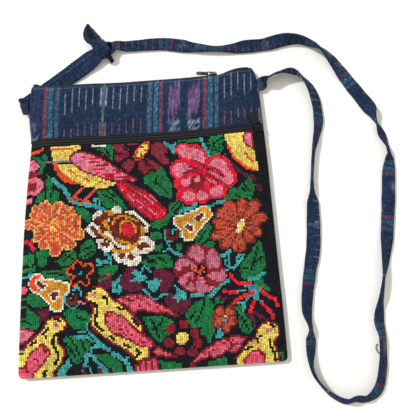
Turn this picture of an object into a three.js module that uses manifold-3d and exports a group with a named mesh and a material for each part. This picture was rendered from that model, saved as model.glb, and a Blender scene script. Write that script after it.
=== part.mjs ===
import * as THREE from "three";
import { mergeVertices } from "three/addons/utils/BufferGeometryUtils.js";
import Module from "manifold-3d";

const wasm = await Module();
wasm.setup();

// A cloth crossbody bag that lies on its back on the floor, in millimetres.
// X runs across the bag, Y up the bag towards its top zip, and Z up from the floor.

// Cloth, seams and the clearance between neighbouring pieces.
const WALL = 1.8;
const GAP = 0.3;
const SEAM_Z = 4.2;
const BOTTOM_Y = -148.8;
const BOTTOM_CORNER_RADIUS = 5;

// The filled shape of the front and the turned-up rim of the back.
const PUFF = 7.2;
const SHOULDER_RUN = 34;
const SHOULDER_POWER = 2.2;
const TURN_UP_RUN = 18;

// The side seams, a row for each height up the bag.
const SIDE_SEAMS = [
  { y: -148.8, left: -126.2, right: 126.6 },
  { y: -100, left: -124.8, right: 126.3 },
  { y: -50, left: -122.7, right: 125.4 },
  { y: 0, left: -120.1, right: 124.6 },
  { y: 45, left: -116.5, right: 123.9 },
  { y: 77, left: -113.4, right: 123.0 },
  { y: 105, left: -113.9, right: 122.0 },
  { y: 130, left: -112.6, right: 120.2 },
  { y: 142, left: -111.0, right: 118.2 },
  { y: 148.8, left: -110.6, right: 115.4 },
];

// The cloth's top edge: share of the width from the left seam, and height up the bag.
const TOP_EDGE = [
  { share: 0, y: 138.4 },
  { share: 0.06, y: 136.2 },
  { share: 0.13, y: 135.4 },
  { share: 0.23, y: 136.3 },
  { share: 0.34, y: 136.8 },
  { share: 0.5, y: 137.4 },
  { share: 0.7, y: 138.2 },
  { share: 0.81, y: 139.6 },
  { share: 0.87, y: 141.8 },
  { share: 0.94, y: 145.8 },
  { share: 1, y: 148.2 },
];

// How the top edge opens: rise of the front cloth, and how far the back cloth turns up to meet it.
const TOP_OPENING = [
  { x: -111, rise: 0, turnUp: 1 },
  { x: -104, rise: 3.0, turnUp: 1 },
  { x: -90, rise: 3.1, turnUp: 1 },
  { x: 60, rise: 3.0, turnUp: 1 },
  { x: 80, rise: 3.4, turnUp: 0.9 },
  { x: 97, rise: 6.4, turnUp: 0.2 },
  { x: 107, rise: 3.6, turnUp: 0.7 },
  { x: 115.4, rise: 0, turnUp: 1 },
];

// Soft dents in the front cloth, a row for each: a line, its half width and its depth.
const DENTS = [
  { fromX: 119, fromY: 128, toX: 62, toY: 110, spread: 9, depth: 1.0 },
  { fromX: -112, fromY: 120, toX: -58, toY: 104, spread: 10, depth: 1.0 },
  { fromX: -112, fromY: 62, toX: -34, toY: 26, spread: 22, depth: 0.9 },
  { fromX: 120, fromY: 24, toX: 44, toY: -58, spread: 26, depth: 0.9 },
  { fromX: -64, fromY: -122, toX: 72, toY: -96, spread: 24, depth: 0.8 },
];

// The pocket zip across the front: a slot in the cloth, two tapes and a coil.
const ZIP_Y = 77.5;
const ZIP_DIP = 1.1;
const ZIP_DIP_SPREAD = 11;
const SLOT_HALF = 3.9;
const TAPE_THICKNESS = 1.2;
const COIL_HALF = 1.5;
const COIL_BELOW_CLOTH = 0.3;
const COIL_EDGE_DROP = 0.6;
const COIL_END_INSET = 3;

// The pocket zip's middle line across the front.
const ZIP_LINE = [
  { x: -117, y: 77.0 },
  { x: -104, y: 78.7 },
  { x: -85, y: 78.2 },
  { x: -60, y: 77.4 },
  { x: -20, y: 76.7 },
  { x: 20, y: 76.7 },
  { x: 60, y: 77.7 },
  { x: 80, y: 78.8 },
  { x: 100, y: 80.0 },
  { x: 124, y: 81.2 },
];

// The top zip between the two cloth edges.
const TOP_TAPE_DEPTH = 8;
const TOP_TAPE_STICKS_OUT = 0.2;
const TOP_TAPE_THICKNESS = 1.0;
const TOP_TAPE_INSET = 7;
const TOP_TAPE_CLEAR = 0.45;
const TOP_COIL_FROM = 0.5;
const TOP_COIL_TO = 1.7;
const TOP_COIL_HALF = 1.1;
const TOP_COIL_CROWN = 0.75;

// Shapes that are joined run into each other by this much.
const JOIN = 0.2;

// A zip's direction at its slider is read between points this far to either side.
const RUN_REACH = 4;

// Sliders: the arch that the pull hangs on is alike on both.
const POCKET_SLIDER_X = 117;
const TOP_SLIDER_X = 75.5;
const ARCH_LEG_AT = 2.4;
const ARCH_LEG_LENGTH = 0.8;
const ARCH_LEG_WIDTH = 0.9;
const ARCH_OPENING = 1.7;
const ARCH_BAR = 0.8;

// The pocket slider: two plates that grip the tapes, joined by a keel between them.
const PLATE_HALF_LENGTH = 4.5;
const PLATE_HALF_WIDTH = 3.3;
const PLATE_TOP = 0.7;
const NOSE_LENGTH = 1.9;
const NOSE_HALF_WIDTH = 2.2;
const KEEL_HALF_LENGTH = 3.6;
const UNDER_PLATE_HALF_LENGTH = 3.9;
const UNDER_PLATE_HALF_WIDTH = 3.1;
const UNDER_PLATE_THICKNESS = 0.9;

// The top slider: a web outside the coil with a short flange on either side of it.
const CAP_HALF_LENGTH = 4;
const CAP_HALF_WIDTH = 2.4;
const CAP_FLANGE = 0.8;
const CAP_FLANGE_FROM = 0.35;
const CAP_WEB_FROM = 2.0;
const CAP_WEB_TO = 2.8;

// Pull tabs: an eye with a round cross bar, then a flat tab with a rounded end.
const PULL_LENGTH = 17.5;
const PULL_HALF_WIDTH = 3.6;
const PULL_THICKNESS = 1.0;
const PULL_BAR_RADIUS = 0.4;
const EYE_LENGTH = 5.0;
const EYE_HALF_WIDTH = 2.85;
const EYE_RIM = 1;
const PULL_WAIST = 0.5;
const PULL_END_STEPS = 8;
const PULL_BAR_SIDES = 12;
const POCKET_PULL_TURN = 116;
const POCKET_PULL_DROOP = 1.5;
const TOP_PULL_TURN = 180;
const TOP_PULL_DROOP = -11;

// The strap: a flat tube of cloth.
const STRAP_THICKNESS = 3.6;
const STRAP_EDGE_ROUND = 0.9;
const STRAP_EDGE_FLAT = 0.4;
const FLOOR_CLEARANCE = 0.15;
const STEPS_PER_ROW = 2;

// The long strap from the knot to the right seam. Roll 0 is flat and 90 is on edge, in degrees.
const RIGHT_STRAP = [
  { x: -28.5, y: 181.0, roll: 0, width: 8.0, raise: 4.6 },
  { x: -23.8, y: 181.6, roll: 0, width: 9.4, raise: 4.0 },
  { x: -13.3, y: 181.3, roll: 0, width: 12.6, raise: 0.8 },
  { x: 24.8, y: 181.8, roll: 0, width: 14.3, raise: 0 },
  { x: 43.3, y: 178.4, roll: 6, width: 14.3, raise: 0 },
  { x: 81.0, y: 172.0, roll: -24, width: 8.4, raise: 0 },
  { x: 111.1, y: 172.8, roll: 10, width: 14.3, raise: 0 },
  { x: 129.7, y: 173.9, roll: 5, width: 14.3, raise: 0 },
  { x: 153.9, y: 176.2, roll: 45, width: 14.3, raise: 0 },
  { x: 168.0, y: 174.6, roll: 76, width: 14.3, raise: 0 },
  { x: 180.0, y: 169.2, roll: 95, width: 14.3, raise: 0 },
  { x: 192.1, y: 161.4, roll: 128, width: 14.3, raise: 0 },
  { x: 212.8, y: 131.2, roll: 176, width: 14.3, raise: 0 },
  { x: 226.5, y: 108.5, roll: 188, width: 14.3, raise: 0 },
  { x: 233.0, y: 96.0, roll: 206, width: 14.3, raise: 0 },
  { x: 236.8, y: 85.2, roll: 264, width: 8.6, raise: 0 },
  { x: 242.8, y: 66.4, roll: 333, width: 10.2, raise: 0 },
  { x: 247.0, y: 50.6, roll: 286, width: 8.6, raise: 0 },
  { x: 247.0, y: 41.4, roll: 330, width: 12.0, raise: 0 },
  { x: 244.8, y: 26.0, roll: 354, width: 14.3, raise: 0 },
  { x: 239.0, y: -14.7, roll: 356, width: 14.3, raise: 0 },
  { x: 229.9, y: -59.2, roll: 317, width: 14.3, raise: 0 },
  { x: 224.6, y: -82.0, roll: 291, width: 12.0, raise: 0 },
  { x: 216.4, y: -116.9, roll: 326, width: 14.3, raise: 0 },
  { x: 217.4, y: -133.2, roll: 310, width: 14.3, raise: 0 },
  { x: 213.2, y: -165.4, roll: 318, width: 14.3, raise: 0 },
  { x: 206.4, y: -180.8, roll: 322, width: 14.3, raise: 0 },
  { x: 195.0, y: -186.8, roll: 302, width: 14.3, raise: 0 },
  { x: 186.4, y: -186.0, roll: 296, width: 14.3, raise: 0 },
  { x: 176.8, y: -187.8, roll: 292, width: 14.3, raise: 0 },
  { x: 160.0, y: -177.5, roll: 276, width: 13.0, raise: 0 },
  { x: 148.6, y: -158.8, roll: 256, width: 13.0, raise: 0 },
  { x: 149.7, y: -131.4, roll: 218, width: 14.3, raise: 0 },
  { x: 150.9, y: -120.3, roll: 248, width: 10.0, raise: 0 },
  { x: 148.8, y: -104.0, roll: 220, width: 14.3, raise: 0 },
  { x: 154.9, y: -69.7, roll: 200, width: 14.3, raise: 0 },
  { x: 161.6, y: -43.9, roll: 180, width: 14.3, raise: 0 },
  { x: 165.2, y: 0.6, roll: 204, width: 14.3, raise: 0 },
  { x: 166.4, y: 20.0, roll: 250, width: 8.0, raise: 0 },
  { x: 171.2, y: 53.0, roll: 246, width: 8.4, raise: 0 },
  { x: 179.6, y: 88.5, roll: 214, width: 13.6, raise: 0 },
  { x: 174.0, y: 122.9, roll: 226, width: 14.3, raise: 0 },
  { x: 157.4, y: 140.0, roll: 265, width: 14.3, raise: 0 },
  { x: 144.0, y: 139.8, roll: 248, width: 14.3, raise: 0 },
  { x: 131.6, y: 134.2, roll: 254, width: 14.3, raise: 0.5 },
  { x: 125.6, y: 128.9, roll: 330, width: 13.8, raise: 1.8 },
  { x: 122.3, y: 128.4, roll: 360, width: 13.6, raise: 2.3 },
];

// The left strap: out of the seam, round a fold, then straight under the corner to the knot.
const FOLD_MIDDLE = { x: -119.2, y: 119 };
const FOLD_LINE_DEG = 106.9;
const LEFT_STRAP_TOP_Z = 8.6;

// Sections of the left strap: distance past the fold's middle, width, and raise above the floor.
const LEFT_STRAP = [
  { along: -4.6, width: 18, raise: 0 },
  { along: -1.5, width: 18, raise: 0 },
  { along: 0.8, width: 18, raise: 0 },
  { along: 3, width: 18, raise: 0 },
  { along: 5.2, width: 18, raise: 0 },
  { along: 7.4, width: 18, raise: 0 },
  { along: 9.6, width: 18, raise: 0 },
  { along: 12, width: 18, raise: 0 },
  { along: 16, width: 18, raise: 0 },
  { along: 30, width: 18.4, raise: 0 },
  { along: 48, width: 19, raise: 0 },
  { along: 66, width: 20, raise: 0 },
  { along: 84, width: 21.5, raise: 0.4 },
  { along: 90, width: 19, raise: 1.2 },
  { along: 96, width: 15.4, raise: 2.0 },
  { along: 104, width: 12, raise: 3.2 },
  { along: 109, width: 10, raise: 3.6 },
];

// The corner of the bag rides over that run.
const CORNER_LIFT = 4.3;
const LIFT_FLAT = 11;
const LIFT_END = 44;

// The knot: a rounded loop of the long strap, and a wide turn wrapped over the left strap.
const KNOT_LOOP = { x: -31.2, y: 178.4, z: 6.3 };
const KNOT_LOOP_RADII = { x: 8.2, y: 8.2, z: 5.9 };
const KNOT_WRAP = { x: -39.4, y: 178.2, z: 6.3 };
const KNOT_WRAP_RADIUS = 9.8;
const KNOT_WRAP_THICK = 2.0;
const KNOT_WRAP_WIDEN = 2.9;
const KNOT_WRAP_TURN_DEG = 40;
const KNOT_WRAP_FLATTEN = 0.5;

// The two loose ends, a row for each section.
const LONG_TAIL = [
  { x: -44.0, y: 183.5, z: 8.4, roll: 8, width: 12.0 },
  { x: -46.4, y: 187.5, z: 8.2, roll: 12, width: 15.0 },
  { x: -49.6, y: 191.5, z: 7.2, roll: 16, width: 16.5 },
  { x: -51.6, y: 196.4, z: 6.2, roll: 18, width: 14.5 },
  { x: -53.0, y: 202.2, z: 5.0, roll: 16, width: 9.6 },
  { x: -53.6, y: 208.2, z: 4.2, roll: 14, width: 3.0 },
];
const SHORT_TAIL = [
  { x: -33.4, y: 172.8, z: 9.1, roll: 0, width: 5.0 },
  { x: -32.4, y: 170.4, z: 8.8, roll: 0, width: 5.0 },
  { x: -30.8, y: 167.4, z: 6.4, roll: 6, width: 5.0 },
  { x: -28.8, y: 164.2, z: 3.4, roll: 10, width: 4.8 },
];

// Stations across a cloth wall and up it, closer together near the seams.
const HALF_ACROSS = [0, 0.02, 0.05, 0.09, 0.14, 0.22, 0.31, 0.4];
const ACROSS = [...HALF_ACROSS, 0.5, ...HALF_ACROSS.map((share) => 1 - share).reverse()];
const UP_PANEL = [0, 0.007, 0.018, 0.035, 0.06, 0.1, 0.16, 0.26, 0.38, 0.5, 0.62, 0.74, 0.86, 0.94, 1];
const UP_BAND = [0, 0.14, 0.3, 0.46, 0.6, 0.72, 0.83, 0.92, 1];
const BAND_ROWS_FROM = 2;
const UP_BACK = [...UP_PANEL, ...UP_BAND.map((v) => BAND_ROWS_FROM + v)];
const ZIP_STEPS = 32;
const ALONG_ZIP = Array.from({ length: ZIP_STEPS + 1 }, (_, i) => i / ZIP_STEPS);

const { clamp, degToRad, lerp, smoothstep } = THREE.MathUtils;

// A smooth curve through one column of a table, read at a value of its key column.
function curveOf(table, key, column) {
  const keys = table.map((row) => row[key]);
  const values = table.map((row) => row[column]);
  const curve = new THREE.CubicInterpolant(keys, values, 1);
  return (at) => curve.evaluate(at)[0];
}

const leftSeam = curveOf(SIDE_SEAMS, "y", "left");
const rightSeam = curveOf(SIDE_SEAMS, "y", "right");
const topEdge = curveOf(TOP_EDGE, "share", "y");
const zipLine = curveOf(ZIP_LINE, "x", "y");
const topRise = curveOf(TOP_OPENING, "x", "rise");
const topTurnUp = curveOf(TOP_OPENING, "x", "turnUp");

// How far the rounded bottom corners draw the side in at a height up the bag.
function cornerInset(y) {
  const short = Math.max(0, BOTTOM_CORNER_RADIUS - (y - BOTTOM_Y));
  return BOTTOM_CORNER_RADIUS - Math.sqrt(Math.max(0, BOTTOM_CORNER_RADIUS ** 2 - short ** 2));
}

const leftEdge = (y) => leftSeam(y) + cornerInset(y);
const rightEdge = (y) => rightSeam(y) - cornerInset(y);
const shareAt = (x, y) => (x - leftEdge(y)) / (rightEdge(y) - leftEdge(y));
const xAt = (share, y) => lerp(leftEdge(y), rightEdge(y), share);
const shoulder = (inside) => 1 - (1 - clamp(inside / SHOULDER_RUN, 0, 1)) ** SHOULDER_POWER;
const turnUp = (inside) => clamp(1 - inside / TURN_UP_RUN, 0, 1) ** 2;

// The direction of the left strap after its fold: the way in, mirrored in the fold line.
const FOLD_LINE = new THREE.Vector3(Math.cos(degToRad(FOLD_LINE_DEG)), Math.sin(degToRad(FOLD_LINE_DEG)), 0);
const WAY_OUT_OF_SEAM = new THREE.Vector3(-1, 0, 0);
const WAY_TO_KNOT = FOLD_LINE.clone().multiplyScalar(2 * FOLD_LINE.dot(WAY_OUT_OF_SEAM)).sub(WAY_OUT_OF_SEAM);

// Distance in plan from a point to a line through a start point, along a unit direction.
function distanceToLine(x, y, start, way) {
  return Math.abs((x - start.x) * way.y - (y - start.y) * way.x);
}

// How far the strap under the top left corner lifts the bag.
function strapLift(x, y) {
  const off = distanceToLine(x, y, FOLD_MIDDLE, WAY_TO_KNOT);
  return CORNER_LIFT * (1 - smoothstep(off, LIFT_FLAT, LIFT_END));
}

// Depth of all the soft dents at a point of the front.
function dentDepth(x, y) {
  let depth = ZIP_DIP * Math.exp(-(((y - zipLine(x)) / ZIP_DIP_SPREAD) ** 2));
  for (const dent of DENTS) {
    const run = { x: dent.toX - dent.fromX, y: dent.toY - dent.fromY };
    const length = Math.hypot(run.x, run.y);
    const along = ((x - dent.fromX) * run.x + (y - dent.fromY) * run.y) / length ** 2;
    const way = { x: run.x / length, y: run.y / length };
    const off = distanceToLine(x, y, { x: dent.fromX, y: dent.fromY }, way);
    const ends = smoothstep(along, -0.2, 0.25) * (1 - smoothstep(along, 0.6, 1.2));
    depth += dent.depth * ends * Math.exp(-((off / dent.spread) ** 2));
  }
  return depth;
}

// Height of the front cloth's outer face: a pillow that closes to the seam at the sides and the
// bottom, and to the zip's opening at the top.
function frontHeight(x, y) {
  const sides = shoulder(x - leftEdge(y)) * shoulder(rightEdge(y) - x);
  const bottom = shoulder(y - BOTTOM_Y);
  const top = shoulder(topEdge(shareAt(x, y)) - y);
  const pillow = PUFF * sides * bottom * top;
  const opening = topRise(x) * (1 - top);
  const dents = dentDepth(x, y) * sides * bottom * top;
  return SEAM_Z + GAP / 2 + WALL + strapLift(x, y) + pillow + opening - dents;
}

// Height of the back cloth's outer face: flat on the floor, turned up to the seam all round.
function backHeight(x, y) {
  const sides = (1 - turnUp(x - leftEdge(y))) * (1 - turnUp(rightEdge(y) - x));
  const bottom = 1 - turnUp(y - BOTTOM_Y);
  const top = 1 - turnUp(topEdge(shareAt(x, y)) - y) * topTurnUp(x);
  return (SEAM_Z - GAP / 2 - WALL) * (1 - sides * bottom * top) + strapLift(x, y);
}

// A closed slab over a grid of stations: place(u, v) gives x, y and the heights of its two faces.
function slab(uStations, vStations, place) {
  const points = [];
  const faces = [];
  const columns = uStations.length;
  const rows = vStations.length;
  for (const v of vStations) {
    for (const u of uStations) {
      const at = place(u, v);
      points.push(at.x, at.y, at.high, at.x, at.y, at.low);
    }
  }
  const high = (i, j) => 2 * (j * columns + i);
  const low = (i, j) => high(i, j) + 1;
  const quad = (a, b, c, d) => faces.push(a, b, c, a, c, d);
  for (let j = 0; j + 1 < rows; j += 1) {
    for (let i = 0; i + 1 < columns; i += 1) {
      quad(high(i, j), high(i + 1, j), high(i + 1, j + 1), high(i, j + 1));
      quad(low(i, j), low(i, j + 1), low(i + 1, j + 1), low(i + 1, j));
    }
  }
  for (let i = 0; i + 1 < columns; i += 1) {
    quad(low(i, 0), low(i + 1, 0), high(i + 1, 0), high(i, 0));
    quad(low(i + 1, rows - 1), low(i, rows - 1), high(i, rows - 1), high(i + 1, rows - 1));
  }
  for (let j = 0; j + 1 < rows; j += 1) {
    quad(low(0, j + 1), low(0, j), high(0, j), high(0, j + 1));
    quad(low(columns - 1, j), low(columns - 1, j + 1), high(columns - 1, j + 1), high(columns - 1, j));
  }
  return indexed(points, faces);
}

// A geometry from flat lists of coordinates and triangle corners.
function indexed(points, faces) {
  const geometry = new THREE.BufferGeometry();
  geometry.setAttribute("position", new THREE.Float32BufferAttribute(points, 3));
  geometry.setIndex(faces);
  return geometry;
}

// The rows of the panel below the pocket zip and of the band above it, at a share of the width.
const zipAt = (share) => zipLine(xAt(share, ZIP_Y));
const panelRow = (share, v) => lerp(BOTTOM_Y, zipAt(share) - SLOT_HALF, v);
const bandRow = (share, v) => lerp(zipAt(share) + SLOT_HALF, topEdge(share), v);

// A wall of the front on its own rows.
function frontWall(vStations, rowAt) {
  return slab(ACROSS, vStations, (share, v) => {
    const y = rowAt(share, v);
    const x = xAt(share, y);
    const high = frontHeight(x, y);
    return { x, y, high, low: high - WALL };
  });
}

// The back has the same rows as the panel and the band, so that their rims match along the seam.
function backWall() {
  return slab(ACROSS, UP_BACK, (share, v) => {
    const y = v < BAND_ROWS_FROM ? panelRow(share, v) : bandRow(share, v - BAND_ROWS_FROM);
    const x = xAt(share, y);
    const low = backHeight(x, y);
    return { x, y, high: low + WALL, low };
  });
}

// A strip of the pocket zip between two offsets from its middle line, sunk below the cloth's face.
function zipStrip(vStations, from, to, fromX, toX, sunk) {
  return slab(ALONG_ZIP, vStations, (u, v) => {
    const x = lerp(fromX, toX, u);
    const y = zipLine(x) + lerp(from, to, v);
    const high = frontHeight(x, y) - sunk(v);
    return { x, y, high, low: frontHeight(x, y) - WALL };
  });
}

// A strip of the top zip that follows the inside of a cloth wall along the top edge.
function topTape(heights) {
  const fromX = TOP_OPENING[0].x + TOP_TAPE_INSET;
  const toX = TOP_OPENING.at(-1).x - TOP_TAPE_INSET;
  return slab(ALONG_ZIP, [0, 0.3, 0.65, 1], (u, v) => {
    const x = lerp(fromX, toX, u);
    const edge = topEdge(shareAt(x, SIDE_SEAMS.at(-2).y));
    const y = edge + lerp(-TOP_TAPE_DEPTH, TOP_TAPE_STICKS_OUT, v);
    return { x, y, ...heights(x, y) };
  });
}

// The front and back edges of the cloth at the top, and the middle between them.
function topMiddle(x) {
  const y = topEdge(shareAt(x, SIDE_SEAMS.at(-2).y));
  const z = (frontHeight(x, y) - WALL + backHeight(x, y) + WALL) / 2;
  return new THREE.Vector3(x, y, z);
}

// The eight corners of a flat strap's section, across it and out of its face.
function strapSection(width, thickness, grow) {
  const a = width / 2 + grow;
  const b = thickness / 2 + grow;
  const flat = Math.max(a - STRAP_EDGE_ROUND * b, a / 3);
  const edge = STRAP_EDGE_FLAT * b;
  return [[a, -edge], [a, edge], [flat, b], [-flat, b], [-a, edge], [-a, -edge], [-flat, -b], [flat, -b]];
}

// A closed tube through rings of points, each ring turning the same way about the run.
function tube(rings) {
  const sides = rings[0].length;
  const faces = [];
  for (let i = 0; i + 1 < rings.length; i += 1) {
    for (let k = 0; k < sides; k += 1) {
      const a = i * sides + k;
      const b = i * sides + ((k + 1) % sides);
      faces.push(a, b + sides, b, a, a + sides, b + sides);
    }
  }
  const last = (rings.length - 1) * sides;
  for (let k = 1; k + 1 < sides; k += 1) {
    faces.push(0, k, k + 1, last, last + k + 1, last + k);
  }
  return indexed(rings.flat().flatMap((p) => [p.x, p.y, p.z]), faces);
}

// A strap along frames that each have a place, a side way, a face way and a width.
function sweep(frames, grow = 0) {
  return tube(frames.map((frame) => strapSection(frame.width, STRAP_THICKNESS, grow).map(([across, out]) =>
    frame.place.clone().addScaledVector(frame.side, across).addScaledVector(frame.face, out))));
}

// Places along a table of sections, smooth between its rows, with the roll about the run.
function rolledPlaces(table, steps, height) {
  const route = new THREE.CatmullRomCurve3(table.map((row) => new THREE.Vector3(row.x, row.y, 0)));
  const turnOf = (row) => new THREE.Vector3(row.roll, row.width, height(row));
  const turns = new THREE.CatmullRomCurve3(table.map(turnOf));
  return Array.from({ length: steps + 1 }, (_, i) => {
    const turn = turns.getPoint(i / steps);
    return { place: route.getPoint(i / steps), roll: degToRad(turn.x), width: turn.y, height: turn.z };
  });
}

// Gives each place its ways: along the run, across the strap and out of its face.
function framed(places) {
  return places.map((at, i) => {
    const before = places[Math.max(0, i - 1)].place;
    const after = places[Math.min(places.length - 1, i + 1)].place;
    const along = after.clone().sub(before).normalize();
    const level = new THREE.Vector3(along.y, -along.x, 0).normalize();
    const side = level.clone().applyAxisAngle(along, at.roll);
    const face = side.clone().cross(along);
    return { place: at.place, side, face, width: at.width };
  });
}

// The long strap rests on the floor on whatever part of its section is lowest.
function rightStrapFrames() {
  const places = rolledPlaces(RIGHT_STRAP, (RIGHT_STRAP.length - 1) * STEPS_PER_ROW, (row) => row.raise);
  for (const at of places) {
    const halfWidth = (at.width / 2) * Math.abs(Math.sin(at.roll));
    const halfThickness = (STRAP_THICKNESS / 2) * Math.abs(Math.cos(at.roll));
    at.place.z = FLOOR_CLEARANCE + halfWidth + halfThickness + Math.max(0, at.height);
  }
  return framed(places);
}

function tailFrames(table) {
  const places = rolledPlaces(table, (table.length - 1) * STEPS_PER_ROW, (row) => row.z);
  for (const at of places) {
    at.place.z = at.height;
  }
  return framed(places);
}

// The left strap is a straight flat band wound half a turn round a rod along its fold line, so
// that it comes back mirrored and lower. Each corner of a section is wound by itself.
function leftStrap(grow = 0) {
  const lowZ = FLOOR_CLEARANCE + STRAP_THICKNESS / 2;
  const radius = (LEFT_STRAP_TOP_Z - lowZ) / 2;
  const outward = new THREE.Vector3(-FOLD_LINE.y, FOLD_LINE.x, 0);
  const across = new THREE.Vector3(0, 1, 0);
  const middle = new THREE.Vector3(FOLD_MIDDLE.x, FOLD_MIDDLE.y, LEFT_STRAP_TOP_Z - radius);
  return tube(LEFT_STRAP.map((row) => strapSection(row.width, STRAP_THICKNESS, grow).map(([side, out]) => {
    const flat = WAY_OUT_OF_SEAM.clone().multiplyScalar(row.along).addScaledVector(across, side);
    const reach = flat.dot(outward);
    const angle = clamp(reach / radius, 0, Math.PI);
    const straight = reach < 0 ? reach : Math.min(0, Math.PI * radius - reach);
    const point = middle.clone().addScaledVector(FOLD_LINE, flat.dot(FOLD_LINE));
    point.addScaledVector(outward, straight + (radius + out) * Math.sin(angle));
    point.z += (radius + out) * Math.cos(angle) + row.raise;
    return point;
  })));
}

// Joins and cuts of closed shapes.
function solidOf(geometry) {
  const bare = indexed(Array.from(geometry.getAttribute("position").array), [...indexOf(geometry)]);
  const merged = mergeVertices(bare, 1e-4);
  const mesh = new wasm.Mesh({
    numProp: 3,
    vertProperties: merged.getAttribute("position").array,
    triVerts: new Uint32Array(merged.index.array),
  });
  return new wasm.Manifold(mesh);
}

function indexOf(geometry) {
  const count = geometry.getAttribute("position").count;
  return geometry.index ? geometry.index.array : Array.from({ length: count }, (_, i) => i);
}

function geometryOf(solid) {
  const mesh = solid.getMesh();
  return indexed(Array.from(mesh.vertProperties), Array.from(mesh.triVerts));
}

function fuse(geometries) {
  return geometryOf(geometries.map(solidOf).reduce((sum, next) => sum.add(next)));
}

// A box between two corners.
function box(from, to) {
  const size = to.map((value, i) => value - from[i]);
  const geometry = new THREE.BoxGeometry(...size);
  return geometry.translate(...from.map((value, i) => value + size[i] / 2));
}

// A flat plate from an outline in its own plane, between two heights.
function plate(corners, low, high) {
  const shape = new THREE.Shape(corners.map(([x, y]) => new THREE.Vector2(x, y)));
  const geometry = new THREE.ExtrudeGeometry(shape, { depth: high - low, bevelEnabled: false });
  return geometry.translate(0, 0, low);
}

// The arch on a slider, standing on a height: two legs along the zip with a bar across the top.
function arch(base) {
  const reach = ARCH_LEG_AT + ARCH_LEG_LENGTH / 2;
  const half = ARCH_LEG_WIDTH / 2;
  const top = base + ARCH_OPENING;
  const inner = ARCH_LEG_AT - ARCH_LEG_LENGTH / 2;
  return [
    box([-reach, -half, base - JOIN], [-inner, half, top + JOIN]),
    box([inner, -half, base - JOIN], [reach, half, top + JOIN]),
    box([-reach, -half, top], [reach, half, top + ARCH_BAR]),
  ];
}

// The pocket slider in its own frame: X along the zip, Z out of the bag, 0 at the cloth's face.
function pocketSlider() {
  const shoulderX = NOSE_LENGTH - PLATE_HALF_LENGTH;
  const outline = [
    [-PLATE_HALF_LENGTH, -NOSE_HALF_WIDTH],
    [shoulderX, -PLATE_HALF_WIDTH],
    [PLATE_HALF_LENGTH, -PLATE_HALF_WIDTH],
    [PLATE_HALF_LENGTH, PLATE_HALF_WIDTH],
    [shoulderX, PLATE_HALF_WIDTH],
    [-PLATE_HALF_LENGTH, NOSE_HALF_WIDTH],
  ];
  const below = -WALL - GAP;
  const keel = [KEEL_HALF_LENGTH, COIL_HALF, 0];
  const under = [UNDER_PLATE_HALF_LENGTH, UNDER_PLATE_HALF_WIDTH, below];
  return fuse([
    plate(outline, -GAP, PLATE_TOP),
    box([-KEEL_HALF_LENGTH, -COIL_HALF, below - JOIN], keel),
    box([-UNDER_PLATE_HALF_LENGTH, -UNDER_PLATE_HALF_WIDTH, below - UNDER_PLATE_THICKNESS], under),
    ...arch(PLATE_TOP),
  ]);
}

// The top slider in the same kind of frame, 0 at the cloth's top edge.
function topSlider() {
  const inner = CAP_HALF_WIDTH - CAP_FLANGE;
  const flangeTop = CAP_WEB_FROM + JOIN;
  return fuse([
    box([-CAP_HALF_LENGTH, -CAP_HALF_WIDTH, CAP_WEB_FROM], [CAP_HALF_LENGTH, CAP_HALF_WIDTH, CAP_WEB_TO]),
    box([-CAP_HALF_LENGTH, -CAP_HALF_WIDTH, CAP_FLANGE_FROM], [CAP_HALF_LENGTH, -inner, flangeTop]),
    box([-CAP_HALF_LENGTH, inner, CAP_FLANGE_FROM], [CAP_HALF_LENGTH, CAP_HALF_WIDTH, flangeTop]),
    ...arch(CAP_WEB_TO),
  ]);
}

// A pull tab along its own X from the cross bar, in the plane of its own X and Y.
function pullTab() {
  const half = PULL_HALF_WIDTH;
  const eye = EYE_HALF_WIDTH;
  const waist = half - PULL_WAIST;
  const rim = EYE_LENGTH + EYE_RIM;
  const waistAt = rim + 2 * EYE_RIM;
  const end = PULL_LENGTH - half;
  const outline = [[0, -half], [rim, -half], [waistAt, -waist]];
  for (let i = 0; i <= PULL_END_STEPS; i += 1) {
    const angle = degToRad(-90 + (180 * i) / PULL_END_STEPS);
    outline.push([end + half * Math.cos(angle), half * Math.sin(angle)]);
  }
  outline.push([waistAt, waist], [rim, half], [0, half]);
  outline.push([0, eye], [EYE_LENGTH, eye], [EYE_LENGTH, -eye], [0, -eye]);
  const bar = new THREE.CylinderGeometry(PULL_BAR_RADIUS, PULL_BAR_RADIUS, 2 * half, PULL_BAR_SIDES);
  return fuse([plate(outline, -PULL_THICKNESS / 2, PULL_THICKNESS / 2), bar]);
}

// The frame of a slider: its zip's run, the way across and the way out of the bag.
function sliderFrame(place, run, out) {
  const across = out.clone().cross(run).normalize();
  const along = across.clone().cross(out).normalize();
  return new THREE.Matrix4().makeBasis(along, across, out.clone().normalize()).setPosition(place);
}

// Where the cloth's face is on the pocket zip's line.
function onZip(x) {
  const y = zipLine(x);
  return new THREE.Vector3(x, y, frontHeight(x, y));
}

const pocketPlace = onZip(POCKET_SLIDER_X);
const pocketRun = onZip(POCKET_SLIDER_X + RUN_REACH).sub(onZip(POCKET_SLIDER_X - RUN_REACH));
const pocketOut = pocketRun.clone().cross(new THREE.Vector3(0, 1, 0)).normalize();
const pocketFrame = sliderFrame(pocketPlace, pocketRun, pocketOut);

const topPlace = topMiddle(TOP_SLIDER_X);
const topRun = topMiddle(TOP_SLIDER_X + RUN_REACH).sub(topMiddle(TOP_SLIDER_X - RUN_REACH)).setZ(0);
const topOut = new THREE.Vector3(-topRun.y, topRun.x, 0).normalize();
const topFrame = sliderFrame(topPlace, topRun, topOut);

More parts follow.
